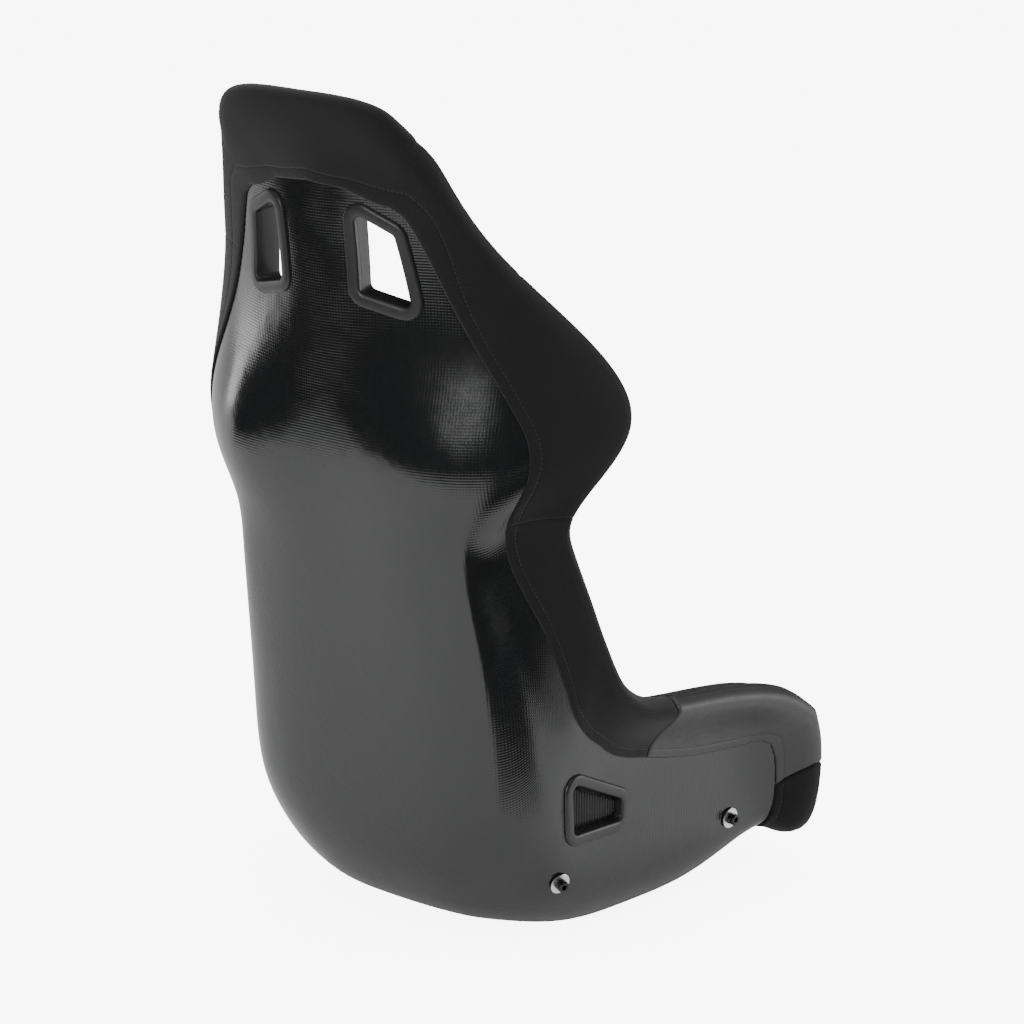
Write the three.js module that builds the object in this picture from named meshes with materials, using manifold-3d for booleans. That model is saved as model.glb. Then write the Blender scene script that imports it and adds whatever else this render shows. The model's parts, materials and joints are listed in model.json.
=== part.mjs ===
// Racing seat: a one-piece laminated bucket shell with padded bolsters, removable cushions,
// harness slots with moulded bezels and four side-mounting points.
// Millimetres. +Z is up, the seat faces -Y, the middle plane is x = 0 and the origin is on the
// flat underside of the shell.
import * as THREE from "three";
import { mergeVertices } from "three/addons/utils/BufferGeometryUtils.js";
import Module from "manifold-3d";

const wasm = await Module();
wasm.setup();

// ---------------------------------------------------------------- driving dimensions
const SHELL_THICKNESS = 4;
const GAP = 0.4; // clearance between two hard pieces that touch
const PAD_GAP = 1.2; // clearance between the shell and the padding on it
const SEAM = 0.02; // half the gap at a seam, as a fraction of a station

// Shell stations from the front lip, along the floor and up the back to the crown. Each row is
// half a section of the outer skin, from the middle (x = 0) out to the rim, as the control
// points of a cubic B-spline.
const STATIONS = [
  // lip
  [[0, -258, 98], [75, -258, 96], [128, -257, 84], [190, -252, 46], [222, -257, 50],
   [229, -263, 88], [231, -265, 126], [232, -263, 157], [232, -255, 180]],
  // front
  [[0, -228, 70], [75, -228, 69], [125, -226, 60], [188, -222, 38], [213, -218, 70],
   [216, -218, 116], [219, -218, 151], [222, -219, 182], [234, -217, 208]],
  // thigh
  [[0, -185, 32], [75, -185, 32], [118, -183, 26], [180, -180, 20], [204, -186, 64],
   [204, -182, 108], [204, -178, 150], [204, -172, 194], [234, -158, 226]],
  // seat
  [[0, -110, 0], [75, -110, 0], [112, -110, 0], [178, -110, 0], [204, -110, 45],
   [204, -106, 98], [204, -102, 148], [204, -95, 202], [234, -85, 237]],
  // hip
  [[0, -20, 0], [75, -20, 0], [110, -20, 0], [178, -20, 0], [204, -20, 45],
   [204, -20, 100], [204, -22, 152], [204, -24, 208], [235, -22, 243]],
  // heel
  [[0, 70, 0], [75, 70, 0], [110, 68, 0], [177, 62, 2], [204, 58, 45],
   [204, 52, 102], [204, 44, 158], [204, 35, 215], [236, 24, 250]],
  // bend
  [[0, 124, 0], [75, 122, 0], [105, 117, 3], [166, 107, 11], [204, 102, 50],
   [204, 96, 106], [204, 84, 166], [208, 72, 228], [237, 56, 264]],
  // rise
  [[0, 182, 22], [75, 180, 23], [111, 171, 27], [166, 154, 38], [203, 142, 70],
   [206, 126, 120], [206, 110, 180], [210, 92, 248], [237, 84, 286]],
  // tail
  [[0, 216, 71], [75, 215, 72], [121, 208, 76], [179, 186, 86], [204, 156, 108],
   [206, 138, 145], [206, 122, 204], [215, 106, 268], [237, 100, 312]],
  // hips
  [[0, 232, 140], [75, 231, 140], [134, 229, 140], [194, 210, 142], [206, 173, 165],
   [208, 152, 196], [209, 138, 232], [220, 124, 292], [237, 114, 340]],
  // lumbar
  [[0, 239, 235], [80, 239, 235], [138, 235, 235], [191, 215, 236], [204, 184, 250],
   [206, 168, 268], [211, 152, 300], [222, 138, 338], [236, 126, 366]],
  // waist
  [[0, 248, 330], [80, 249, 330], [136, 245, 330], [181, 231, 331], [195, 204, 338],
   [199, 192, 350], [212, 174, 368], [223, 156, 388], [236, 142, 404]],
  // rib
  [[0, 262, 415], [80, 264, 415], [132, 257, 415], [171, 248, 416], [181, 222, 420],
   [185, 214, 428], [202, 196, 438], [218, 180, 447], [235, 166, 454]],
  // fold
  [[0, 272, 470], [80, 275, 470], [132, 266, 470], [169, 251, 472], [181, 228, 478],
   [187, 219, 486], [204, 203, 494], [219, 192, 498], [234, 184, 498]],
  // armpit
  [[0, 280, 515], [82, 285, 516], [150, 281, 518], [200, 254, 520], [222, 236, 526],
   [228, 226, 532], [240, 208, 538], [250, 188, 540], [258, 170, 540]],
  // shoulder
  [[0, 288, 580], [80, 292, 580], [150, 286, 580], [206, 254, 582], [238, 224, 585],
   [256, 196, 589], [267, 171, 592], [275, 146, 596], [282, 121, 597]],
  // wing
  [[0, 294, 650], [65, 284, 652], [121.7, 266.7, 655], [180.2, 243.5, 658], [212.2, 223.7, 658],
   [234.8, 202.5, 656], [251.8, 178.3, 654], [262.3, 155.4, 650], [269, 134, 648]],
  // neck
  [[0, 300, 720], [52, 286, 722], [105, 269, 725], [150, 255, 727], [180, 241, 726],
   [202, 223, 722], [216, 205.6, 716], [228, 187.2, 710], [234, 172, 704]],
  // slot
  [[0, 304, 785], [50, 292, 787], [98.4, 278.6, 790], [136, 267, 792], [158.4, 256.6, 792],
   [169, 249, 789], [176, 242.6, 785], [181.7, 237.5, 780], [184, 232, 776]],
  // head
  [[0, 310, 848], [50, 302, 850], [95.8, 292.4, 850], [131, 281.8, 850], [144.8, 275.9, 848],
   [150, 271.2, 846], [152.5, 268.2, 843], [154.2, 264.7, 840], [155, 261, 837]],
  // crown
  [[0, 316, 903], [46, 313, 902], [82, 309, 899], [107, 304, 893.5], [118, 300, 889],
   [127, 294, 885], [133, 288, 882], [137, 281.5, 879], [140, 275, 876]],
  // top
  [[0, 319, 934], [44, 318, 934], [78, 315, 931.5], [101, 310, 926], [111, 306, 919],
   [118, 302, 911], [123.5, 298, 904], [128, 293, 897.5], [131, 288, 891]],
];
const RIM = STATIONS[0].length - 1; // u of the right and left rim
const TOP = STATIONS.length - 1; // v of the crown edge

// Where the seams between the covers cross the rim, as stations.
const LEG_END = 4.3;
const TORSO_END = 13;
const HEAD_SEAM_HEIGHT = 834; // z at which the headrest cover meets the wing covers
const KNEE_SIDE = 6; // u at which the knee roll meets the leg bolsters

const HARNESS_OPENING = [[57, 822], [100, 801], [113, 722], [56, 735]]; // x, z seen from behind
const SIDE_OPENING = [[122, 190], [118, 129], [38, 126], [36, 150]]; // y, z
const CROTCH_OPENING = [[-38, -78], [38, -78], [38, -100], [-38, -100]]; // x, y
const HARNESS_FLANGE = 14; // width of a bezel's visible rim
const SIDE_FLANGE = 13;
const CROTCH_FLANGE = 11;
const BEZEL_HEIGHT = 3.2;
const BEZEL_WALL = 2.4;
const PAD_DEPTH = 19; // of the harness slots' front bezels below the inner skin
const CORNER_RADIUS = 7;

const BOLT_HEIGHT = 78;
const BOLT_PLACES = { front: -155, rear: 134 }; // y of the M8 mounting bolts
const BOLT_RADIUS = 4;
const FLANK = 204; // x of the flat outside of the shell's side

const SQUAB_THICKNESS = 46;
const BACK_PAD_THICKNESS = 30;
const STRIP_THICKNESS = 1.6; // hook-and-loop strip

// ---------------------------------------------------------------- colours
const COLOURS = {
  gelcoat: { color: 0x0c0d0e, roughness: 0.12, metalness: 0 },
  knit: { color: 0x1b1c1e, roughness: 0.95, metalness: 0 },
  mesh: { color: 0x232426, roughness: 0.9, metalness: 0 },
  leatherette: { color: 0x2c2d2f, roughness: 0.5, metalness: 0 },
  moulding: { color: 0x2a2b2c, roughness: 0.4, metalness: 0 },
  blackSteel: { color: 0x1a1a1b, roughness: 0.35, metalness: 0.9 },
  zinc: { color: 0xd9dbdd, roughness: 0.3, metalness: 1 },
  hook: { color: 0x111112, roughness: 1, metalness: 0 },
};

// ---------------------------------------------------------------- shell surface
const CUBIC = (t) => [
  (1 - t) ** 3 / 6,
  (3 * t ** 3 - 6 * t ** 2 + 4) / 6,
  (-3 * t ** 3 + 3 * t ** 2 + 3 * t + 1) / 6,
  t ** 3 / 6,
];

// A point of the uniform cubic B-spline through a row of control points that starts and ends on
// its first and last one.
function splinePoint(row, at) {
  const last = row.length - 1;
  const cell = Math.min(Math.max(Math.floor(at), 0), last - 1);
  const weights = CUBIC(at - cell);
  const control = (i) => {
    if (i < 0) return row[0].clone().multiplyScalar(2).sub(row[1]);
    if (i > last) return row[last].clone().multiplyScalar(2).sub(row[last - 1]);
    return row[i];
  };
  const sum = new THREE.Vector3();
  weights.forEach((weight, k) => sum.addScaledVector(control(cell - 1 + k), weight));
  return sum;
}

const FULL_ROWS = STATIONS.map((half) => {
  const right = half.map((p) => new THREE.Vector3(...p));
  const left = half.slice(1).reverse().map(([x, y, z]) => new THREE.Vector3(-x, y, z));
  return [...left, ...right];
});

// Point of the shell's outer skin: u runs from rim to rim (0 in the middle), v from lip to crown.
function skin(u, v) {
  return splinePoint(FULL_ROWS.map((row) => splinePoint(row, u + RIM)), v);
}

// The place whose directions stand in for those at (u, v). Next to the corners, where two edges
// run on into each other and their directions no longer cross, it is pulled in.
function calmed(u, v) {
  const reach = 0.5;
  const overU = Math.max(Math.abs(u) - (RIM - reach), 0);
  const overTop = Math.max(v - (TOP - reach), 0);
  const overLip = Math.max(reach - v, 0);
  const inwards = (overU * Math.max(overTop, overLip)) / reach;
  return [u - Math.sign(u) * inwards, v - ((overTop - overLip) * overU) / reach];
}

// Unit vectors of the skin at (u, v): along u, along v, and the normal away from the occupant.
function frameAt(atU, atV) {
  const [u, v] = calmed(atU, atV);
  const step = 1e-3;
  const alongU = skin(Math.min(u + step, RIM), v).sub(skin(Math.max(u - step, -RIM), v)).normalize();
  const alongV = skin(u, Math.min(v + step, TOP)).sub(skin(u, Math.max(v - step, 0))).normalize();
  return { alongU, alongV, normal: alongV.clone().cross(alongU).normalize() };
}

// The shell's facets. Pads and bezels are laid on the same facets, so that the gap is even.
const HALF_U = [0, 1, 2, 2.5, 3, 3.5, 4, 5, 6, 7, 7.5, 8];
const GRID_U = [...HALF_U.slice(1).reverse().map((u) => -u), ...HALF_U];
const TIGHT_V = [0.5, 1.5, 6.5, 7.5, 12.5, 13.5, 15.5, 20.5]; // extra lines where the skin bends most
const GRID_V = [...STATIONS.keys(), ...TIGHT_V].sort((a, b) => a - b);
const NODES = GRID_V.map((v) =>
  GRID_U.map((u) => ({ point: skin(u, v), ...frameAt(u, v) })),
);

function cellOf(grid, value) {
  let cell = 0;
  while (cell < grid.length - 2 && grid[cell + 1] <= value) cell += 1;
  return cell;
}

// Blend of a node property over the facet that holds (u, v). The facets' diagonals mirror
// about the middle plane.
function onFacet(u, v, read) {
  const i = cellOf(GRID_V, v);
  const j = cellOf(GRID_U, u);
  const s = (v - GRID_V[i]) / (GRID_V[i + 1] - GRID_V[i]);
  const t = (u - GRID_U[j]) / (GRID_U[j + 1] - GRID_U[j]);
  const [low, high] = [NODES[i], NODES[i + 1]];
  const corners = [low[j], low[j + 1], high[j], high[j + 1]].map(read);
  const weights = leansLeft((GRID_U[j] + GRID_U[j + 1]) / 2)
    ? s + t <= 1
      ? [1 - s - t, t, s, 0]
      : [0, 1 - s, 1 - t, s + t - 1]
    : s >= t
      ? [1 - s, 0, s - t, t]
      : [1 - t, t - s, 0, s];
  const sum = new THREE.Vector3();
  weights.forEach((weight, k) => sum.addScaledVector(corners[k], weight));
  return sum;
}

function leansLeft(u) {
  return u < 0;
}

// A point on the shell's facets, lifted off the outer skin along the normal.
function outside(u, v, lift) {
  return onFacet(u, v, (node) => node.point.clone().addScaledVector(node.normal, lift));
}

// The same off the inner skin, towards the occupant.
function inside(u, v, lift) {
  return outside(u, v, -SHELL_THICKNESS - lift);
}

// ---------------------------------------------------------------- solids
function solidGeometry(points, triangles) {
  const positions = new Float32Array(points.flatMap((p) => [p.x, p.y, p.z]));
  let volume = 0;
  for (const [a, b, c] of triangles) {
    volume += points[a].dot(points[b].clone().cross(points[c]));
  }
  const facing = volume < 0 ? triangles.map(([a, b, c]) => [a, c, b]) : triangles;
  return new THREE.BufferGeometry()
    .setAttribute("position", new THREE.BufferAttribute(positions, 3))
    .setIndex(facing.flat());
}

// Closed solid between two sheets of points with the same rows and columns. leans(i, j) tells
// which diagonal splits the cell: true from (i, j + 1) to (i + 1, j).
function sheetSolid(front, back, leans) {
  const rows = front.length;
  const columns = front[0].length;
  const f = (i, j) => i * columns + j;
  const b = (i, j) => rows * columns + f(i, j);
  const triangles = [];
  const quad = (p, q, r, s) => triangles.push([p, q, r], [p, r, s]);
  for (let i = 0; i < rows - 1; i += 1) {
    for (let j = 0; j < columns - 1; j += 1) {
      const corners = [[i, j], [i, j + 1], [i + 1, j + 1], [i + 1, j]];
      if (leans(i, j)) corners.push(corners.shift());
      const [p, q, r, s] = corners;
      quad(f(...p), f(...q), f(...r), f(...s));
      quad(b(...p), b(...s), b(...r), b(...q));
    }
  }
  for (let j = 0; j < columns - 1; j += 1) {
    const i = rows - 1;
    quad(f(0, j + 1), f(0, j), b(0, j), b(0, j + 1));
    quad(f(i, j), f(i, j + 1), b(i, j + 1), b(i, j));
  }
  for (let i = 0; i < rows - 1; i += 1) {
    const j = columns - 1;
    quad(f(i, 0), f(i + 1, 0), b(i + 1, 0), b(i, 0));
    quad(f(i + 1, j), f(i, j), b(i, j), b(i + 1, j));
  }
  return solidGeometry([...front.flat(), ...back.flat()], triangles);
}

// Ring whose section is a closed chain of loops.
function ringSolid(loops) {
  const count = loops[0].length;
  const at = (loop, k) => (loop % loops.length) * count + (k % count);
  const triangles = [];
  loops.forEach((_, loop) => {
    for (let k = 0; k < count; k += 1) {
      triangles.push([at(loop, k), at(loop, k + 1), at(loop + 1, k + 1)]);
      triangles.push([at(loop, k), at(loop + 1, k + 1), at(loop + 1, k)]);
    }
  });
  return solidGeometry(loops.flat(), triangles);
}

// Plug between two loops, closed at both ends.
function plugSolid(first, second) {
  const count = first.length;
  const middle = (loop) =>
    loop.reduce((sum, p) => sum.add(p), new THREE.Vector3()).divideScalar(count);
  const triangles = [];
  for (let k = 0; k < count; k += 1) {
    const next = (k + 1) % count;
    triangles.push([k, next, count + next], [k, count + next, count + k]);
    triangles.push([next, k, 2 * count], [count + k, count + next, 2 * count + 1]);
  }
  return solidGeometry([...first, ...second, middle(first), middle(second)], triangles);
}

function toManifold(geometry) {
  const bare = geometry.index ? geometry.toNonIndexed() : geometry.clone();
  bare.deleteAttribute("normal");
  bare.deleteAttribute("uv");
  const merged = mergeVertices(bare, 1e-4);
  return new wasm.Manifold(
    new wasm.Mesh({
      numProp: 3,
      vertProperties: merged.attributes.position.array,
      triVerts: new Uint32Array(merged.index.array),
    }),
  );
}

function fromManifold(solid) {
  const mesh = solid.getMesh();
  return new THREE.BufferGeometry()
    .setAttribute("position", new THREE.BufferAttribute(mesh.vertProperties, 3))
    .setIndex(Array.from(mesh.triVerts));
}

function cut(geometry, ...tools) {
  const solid = tools.reduce((left, tool) => left.subtract(toManifold(tool)), toManifold(geometry));
  return fromManifold(solid);
}

function join(...geometries) {
  return fromManifold(geometries.map(toManifold).reduce((sum, solid) => sum.add(solid)));
}

function mirrored(geometry) {
  const copy = geometry.clone().applyMatrix4(new THREE.Matrix4().makeScale(-1, 1, 1));
  const index = Array.from(copy.index.array);
  for (let k = 0; k < index.length; k += 3) {
    [index[k + 1], index[k + 2]] = [index[k + 2], index[k + 1]];
  }
  return copy.setIndex(index);
}

// ---------------------------------------------------------------- padding
// Facet lines between two seams, with the seam gap at both ends.
function between(grid, from, to) {
  const inner = grid.filter((value) => value > from + 2 * SEAM && value < to - 2 * SEAM);
  return [from + SEAM, ...inner, to - SEAM];
}

// A point beside the shell: lifted along the normal and moved out past the rim or an end edge.
function beside(u, v, { lift, pastRim = 0, pastEnd = 0 }) {
  return onFacet(u, v, (node) =>
    node.point
      .clone()
      .addScaledVector(node.normal, lift)
      .addScaledVector(node.alongU, pastRim * Math.sign(u))
      .addScaledVector(node.alongV, pastEnd),
  );
}

// The steps by which padding runs from its hem, round the shell's edge, to its inner border.
// Each step has a place on the crossing axis and how far the contact face and the fabric face
// stand off: lift from the outer skin, past beyond the edge.
function wrapSteps(outer, inner, { gap = PAD_GAP, hem, roll, overhang, depth, border }) {
  const back = -SHELL_THICKNESS - gap;
  const ease = (k, count) => (count > 1 ? k / (count - 1) : 1);
  const steps = outer.map((at, k) => ({
    at,
    contact: { lift: gap, past: 0 },
    fabric: { lift: gap + hem + (roll - hem) * ease(k, outer.length + 1), past: 0 },
  }));
  const edge = inner[0];
  steps.push(
    {
      at: edge,
      contact: { lift: gap, past: gap },
      fabric: { lift: roll, past: overhang * 0.7 },
    },
    {
      at: edge,
      contact: { lift: -SHELL_THICKNESS / 2, past: gap },
      fabric: { lift: -SHELL_THICKNESS / 2, past: overhang },
    },
    {
      at: edge,
      contact: { lift: back, past: gap },
      fabric: { lift: back - roll, past: overhang * 0.7 },
    },
  );
  inner.slice(1).forEach((at, k) => {
    const part = ease(k, inner.length - 1);
    const bulge = depth * Math.sin(Math.PI * (0.3 + 0.5 * part)) ** 0.5;
    const thickness = k === inner.length - 2 ? border : bulge;
    steps.push({
      at,
      contact: { lift: back, past: 0 },
      fabric: { lift: back - thickness, past: 0 },
    });
  });
  return steps;
}

// Padding wrapped round the rim on the occupant's left (x > 0) between two stations.
function rimPadding(from, to, outer, inner, sizes) {
  const steps = wrapSteps(outer, [RIM, ...inner], sizes);
  const rows = between(GRID_V, from, to);
  const face = (kind) =>
    rows.map((v) =>
      steps.map((step) => beside(step.at, v, { lift: step[kind].lift, pastRim: step[kind].past })),
    );
  return sheetSolid(face("contact"), face("fabric"), (_, j) => j >= outer.length);
}

// Padding wrapped round the lip (v = 0) or the crown (v = TOP) across the given columns.
function endPadding(end, columns, outer, inner, sizes) {
  const outward = end === TOP ? 1 : -1;
  const steps = wrapSteps(outer, [end, ...inner], sizes);
  const face = (kind) =>
    steps.map((step) => {
      const { lift, past } = step[kind];
      return columns.map((u) => beside(u, step.at, { lift, pastEnd: past * outward }));
    });
  return sheetSolid(face("contact"), face("fabric"), (i, j) => {
    const runsUp = i < outer.length === (end === TOP);
    return leansLeft((columns[j] + columns[j + 1]) / 2) === runsUp;
  });
}

// Cushion lying on the inside of the shell. thickness(p, q) has p and q from -1 to 1 across it.
function cushion(columns, rows, lift, thickness) {
  const part = (list, k) => (2 * (list[k] - list[0])) / (list.at(-1) - list[0]) - 1;
  const contact = rows.map((v) => columns.map((u) => inside(u, v, lift)));
  const top = rows.map((v, i) =>
    columns.map((u, j) => inside(u, v, lift + thickness(part(columns, j), part(rows, i)))),
  );
  return sheetSolid(contact, top, (_, j) => leansLeft((columns[j] + columns[j + 1]) / 2));
}

// Thickness of a cushion that is crowned in the middle and thinner along its borders.
function crowned(height, edge) {
  return (p, q) => height * (edge + (1 - edge) * (1 - p ** 4) * (1 - q ** 4));
}

// ---------------------------------------------------------------- openings and bezels
const ARC_STEPS = 3;
const EDGE_STEPS = 3;

// Points of a polygon grown outwards, with round corners. Every outline of the same polygon has
// the same number of points.
function outline(corners, grow) {
  const points = corners.map(([a, b]) => new THREE.Vector2(a, b));
  const turn = THREE.ShapeUtils.area(points) > 0 ? 1 : -1;
  const count = points.length;
  const side = (k) => points[(k + 1) % count].clone().sub(points[k]).normalize();
  const outwards = (k) => new THREE.Vector2(side(k).y, -side(k).x).multiplyScalar(turn);
  const radius = CORNER_RADIUS + grow;
  const arcs = points.map((corner, k) => {
    const before = outwards((k + count - 1) % count);
    const after = outwards(k);
    const bisector = before.clone().add(after).normalize();
    const reach = 1 / bisector.dot(after);
    const centre = corner.clone().addScaledVector(bisector, reach * (grow - radius));
    const start = before.angle();
    let sweep = after.angle() - start;
    if (sweep > Math.PI) sweep -= 2 * Math.PI;
    if (sweep < -Math.PI) sweep += 2 * Math.PI;
    return Array.from({ length: ARC_STEPS + 1 }, (_, i) => {
      const angle = start + (sweep * i) / ARC_STEPS;
      return new THREE.Vector2(Math.cos(angle), Math.sin(angle)).multiplyScalar(radius).add(centre);
    });
  });
  return arcs.flatMap((arc, k) => {
    const next = arcs[(k + 1) % count][0];
    const straight = Array.from({ length: EDGE_STEPS - 1 }, (_, i) =>
      arc.at(-1).clone().lerp(next, (i + 1) / EDGE_STEPS),
    );
    return [...arc, ...straight];
  });
}

// (u, v) of the skin point whose two named coordinates are given.
function locate(axes, target, guess) {
  const [u, v] = guess;
  let [bestU, bestV] = [u, v];
  for (let round = 0; round < 8; round += 1) {
    const step = 1e-3;
    const here = skin(bestU, bestV);
    const overU = skin(bestU + step, bestV).sub(here).divideScalar(step);
    const overV = skin(bestU, bestV + step).sub(here).divideScalar(step);
    const [missA, missB] = axes.map((axis, k) => target[k] - here[axis]);
    const [a, b] = axes;
    const determinant = overU[a] * overV[b] - overU[b] * overV[a];
    bestU += (missA * overV[b] - missB * overV[a]) / determinant;
    bestV += (overU[a] * missB - overU[b] * missA) / determinant;
  }
  return [bestU, bestV];
}

// An opening of the shell, given by its outline seen along one axis.
class Opening {
  constructor(corners, axes, guess) {
    this.corners = corners;
    this.axes = axes;
    this.guess = guess;
  }

  // The outline grown by a distance and lifted off the outer skin.
  loop(grow, lift) {
    return outline(this.corners, grow).map((point) => {
      const [u, v] = locate(this.axes, point.toArray(), this.guess);
      return outside(u, v, lift);
    });
  }

  // Solid that cuts the opening, or clears room for a flange, between two heights.
  cutter(grow, from, to) {
    return plugSolid(this.loop(grow, from), this.loop(grow, to));
  }

  // Bezel on the outer skin, with a sleeve that lines the hole down to a depth.
  outerBezel(flange, depth) {
    return ringSolid([
      this.loop(0, BEZEL_HEIGHT - 1),
      this.loop(0, -depth),
      this.loop(BEZEL_WALL, -depth),
      this.loop(BEZEL_WALL, GAP),
      this.loop(flange, GAP),
      this.loop(flange - 2, BEZEL_HEIGHT),
      this.loop(2, BEZEL_HEIGHT),
    ]);
  }

  // Bezel over the inner skin, at a standoff from it, with a sleeve that reaches up to a lift.
  innerBezel(flange, sleeveTop, standoff = PAD_GAP) {
    const face = -SHELL_THICKNESS - standoff;
    return ringSolid([
      this.loop(0, sleeveTop),
      this.loop(0, face - BEZEL_HEIGHT + 1),
      this.loop(2, face - BEZEL_HEIGHT),
      this.loop(flange - 2, face - BEZEL_HEIGHT),
      this.loop(flange, face),
      this.loop(BEZEL_WALL, face),
      this.loop(BEZEL_WALL, sleeveTop),
    ]);
  }

  // The hole that the shell gets for the sleeve.
  hole() {
    return this.cutter(BEZEL_WALL + GAP, 12, -SHELL_THICKNESS - 12);
  }
}

const HARNESS = new Opening(HARNESS_OPENING, ["x", "z"], [1.6, 17.7]);
const LAP = new Opening(SIDE_OPENING, ["y", "z"], [5.5, 6]);
const CROTCH = new Opening(CROTCH_OPENING, ["x", "y"], [0.1, 3.2]);

// ---------------------------------------------------------------- shell
const TURN_STEPS = 16;

// Where a mounting bolt goes through the left side wall: its axis is square to the skin.
function boltFrame(y) {
  const guess = y < 0 ? [4.5, 2.5] : [4.3, 6.8];
  const [u, v] = locate(["y", "z"], [y, BOLT_HEIGHT], guess);
  const axis = frameAt(u, v).normal;
  const across = new THREE.Vector3(0, 1, 0).addScaledVector(axis, -axis.y).normalize();
  const basis = new THREE.Matrix4().makeBasis(axis, across, axis.clone().cross(across));
  return basis.setPosition(outside(u, v, 0));
}

// Solid of revolution about a bolt's axis; the profile holds [height over the skin, radius].
function turned(profile, y) {
  const points = profile.map(([height, radius]) => new THREE.Vector2(radius, height));
  const geometry = new THREE.LatheGeometry(points, TURN_STEPS).rotateZ(-Math.PI / 2);
  return geometry.applyMatrix4(boltFrame(y));
}

function makeShell() {
  const outer = NODES.map((row) => row.map((node) => node.point));
  const inner = NODES.map((row) =>
    row.map((node) => node.point.clone().addScaledVector(node.normal, -SHELL_THICKNESS)),
  );
  const blank = sheetSolid(outer, inner, (_, j) => leansLeft((GRID_U[j] + GRID_U[j + 1]) / 2));
  const bore = BOLT_RADIUS + GAP;
  const bores = Object.values(BOLT_PLACES).map((y) =>
    turned([[-20, 0], [-20, bore], [20, bore], [20, 0]], y),
  );
  const sideTools = [HARNESS.hole(), LAP.hole(), ...bores];
  return cut(blank, CROTCH.hole(), ...sideTools, ...sideTools.map(mirrored));
}

// ---------------------------------------------------------------- covers and bolsters
const above = (grid, from, to) => grid.filter((value) => value >= from && value <= to);
const down = (list) => [...list].reverse();

function makeTorsoBolster() {
  const sizes = { hem: 2.5, roll: 9, overhang: 13, depth: 36, border: 24 };
  const columns = above(HALF_U, 6, 7.5);
  const body = rimPadding(LEG_END, TORSO_END - SEAM, columns, down(columns), sizes);
  return cut(body, LAP.cutter(SIDE_FLANGE + 3, 8, -60));
}

function makeLegBolster() {
  const sizes = { hem: 2.5, roll: 10, overhang: 14, depth: 36, border: 26 };
  const side = rimPadding(-SEAM, LEG_END, [7, 7.5], [7.5, 7, KNEE_SIDE + SEAM], sizes);
  const corner = endPadding(0, [KNEE_SIDE + SEAM, 7, 7.5, RIM], [0.5], [0.5, 1], sizes);
  return cut(join(side, corner), LAP.cutter(SIDE_FLANGE + 3, 8, -60));
}

// Everything above (side 1) or below (side -1) the level seam under the headrest cover.
function beyondHeadSeam(side) {
  const size = 800;
  const middle = HEAD_SEAM_HEIGHT + side * (size / 2 - PAD_GAP / 2);
  return new THREE.BoxGeometry(size, size, size).translate(0, 0, middle);
}

function makeWingCover() {
  const sizes = { hem: 2.5, roll: 9, overhang: 13, depth: 22, border: 14 };
  const outer = above(HALF_U, 4, 7.5);
  const inner = down(above(HALF_U, 3.5, 7.5));
  return cut(rimPadding(TORSO_END, 19.4, outer, inner, sizes), beyondHeadSeam(1));
}

function makeHeadrestCover() {
  const sizes = { hem: 2.5, roll: 9, overhang: 12, depth: 12, border: 10 };
  const outer = [18.6, 19, 20, 20.5];
  const top = endPadding(TOP, GRID_U, outer, down(outer), sizes);
  const flap = { gap: 1.5, hem: 2, roll: 8.6, overhang: 11.6, depth: 11, border: 9 };
  const side = rimPadding(18.6, 19.4, [7, 7.5], [7.5, 7], flap);
  return cut(join(top, side, mirrored(side)), beyondHeadSeam(-1));
}

function makeKneeRoll() {
  const sizes = { hem: 3, roll: 14, overhang: 18, depth: 34, border: 26 };
  const columns = between(GRID_U, -KNEE_SIDE, KNEE_SIDE);
  return endPadding(0, columns, [1, 0.5], [0.5, 1 - SEAM], sizes);
}

const ON_STRIPS = STRIP_THICKNESS + 2 * GAP; // lift of a cushion that lies on its strips

function makeThighPad() {
  const columns = above(GRID_U, -3, 3);
  return cushion(columns, [1.2, 1.5, 2, 2.5], PAD_GAP, crowned(40, 0.7));
}

function makeSquab() {
  const columns = above(GRID_U, -2.5, 2.5);
  const rows = [3.5, ...above(GRID_V, 4, 6.5)];
  return cushion(columns, rows, ON_STRIPS, crowned(SQUAB_THICKNESS, 0.6));
}

function makeBackPad() {
  const columns = above(GRID_U, -2, 2);
  return cushion(columns, above(GRID_V, 9, 15), ON_STRIPS, crowned(BACK_PAD_THICKNESS, 0.55));
}

function makeShoulderPad() {
  const columns = above(GRID_U, -3, 3);
  const rows = [15.5, 16, 17, 18, 18.7];
  const body = cushion(columns, rows, PAD_GAP, crowned(16, 0.6));
  const room = HARNESS.cutter(BEZEL_WALL + 2, 4, -60);
  return cut(body, room, mirrored(room));
}

function makeHeadPad() {
  const lift = PAD_GAP + 12 + GAP;
  return cushion(above(GRID_U, -2, 2), [19.4, 20, 20.5], lift, crowned(24, 0.6));
}

function makeGripStrip(rows) {
  return cushion([0.35, 0.65], rows, GAP, () => STRIP_THICKNESS);
}

// ---------------------------------------------------------------- side slot blank
const RIB_PITCH = 6.6;
const RIB_WIDTH = 3;
const BLANK_DEPTH = 8; // of the blank's outer face below the outer skin
const BLANK_THICKNESS = 2.4;
const SLEEVE_DEPTH = BLANK_DEPTH + BLANK_THICKNESS + 2;

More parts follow.
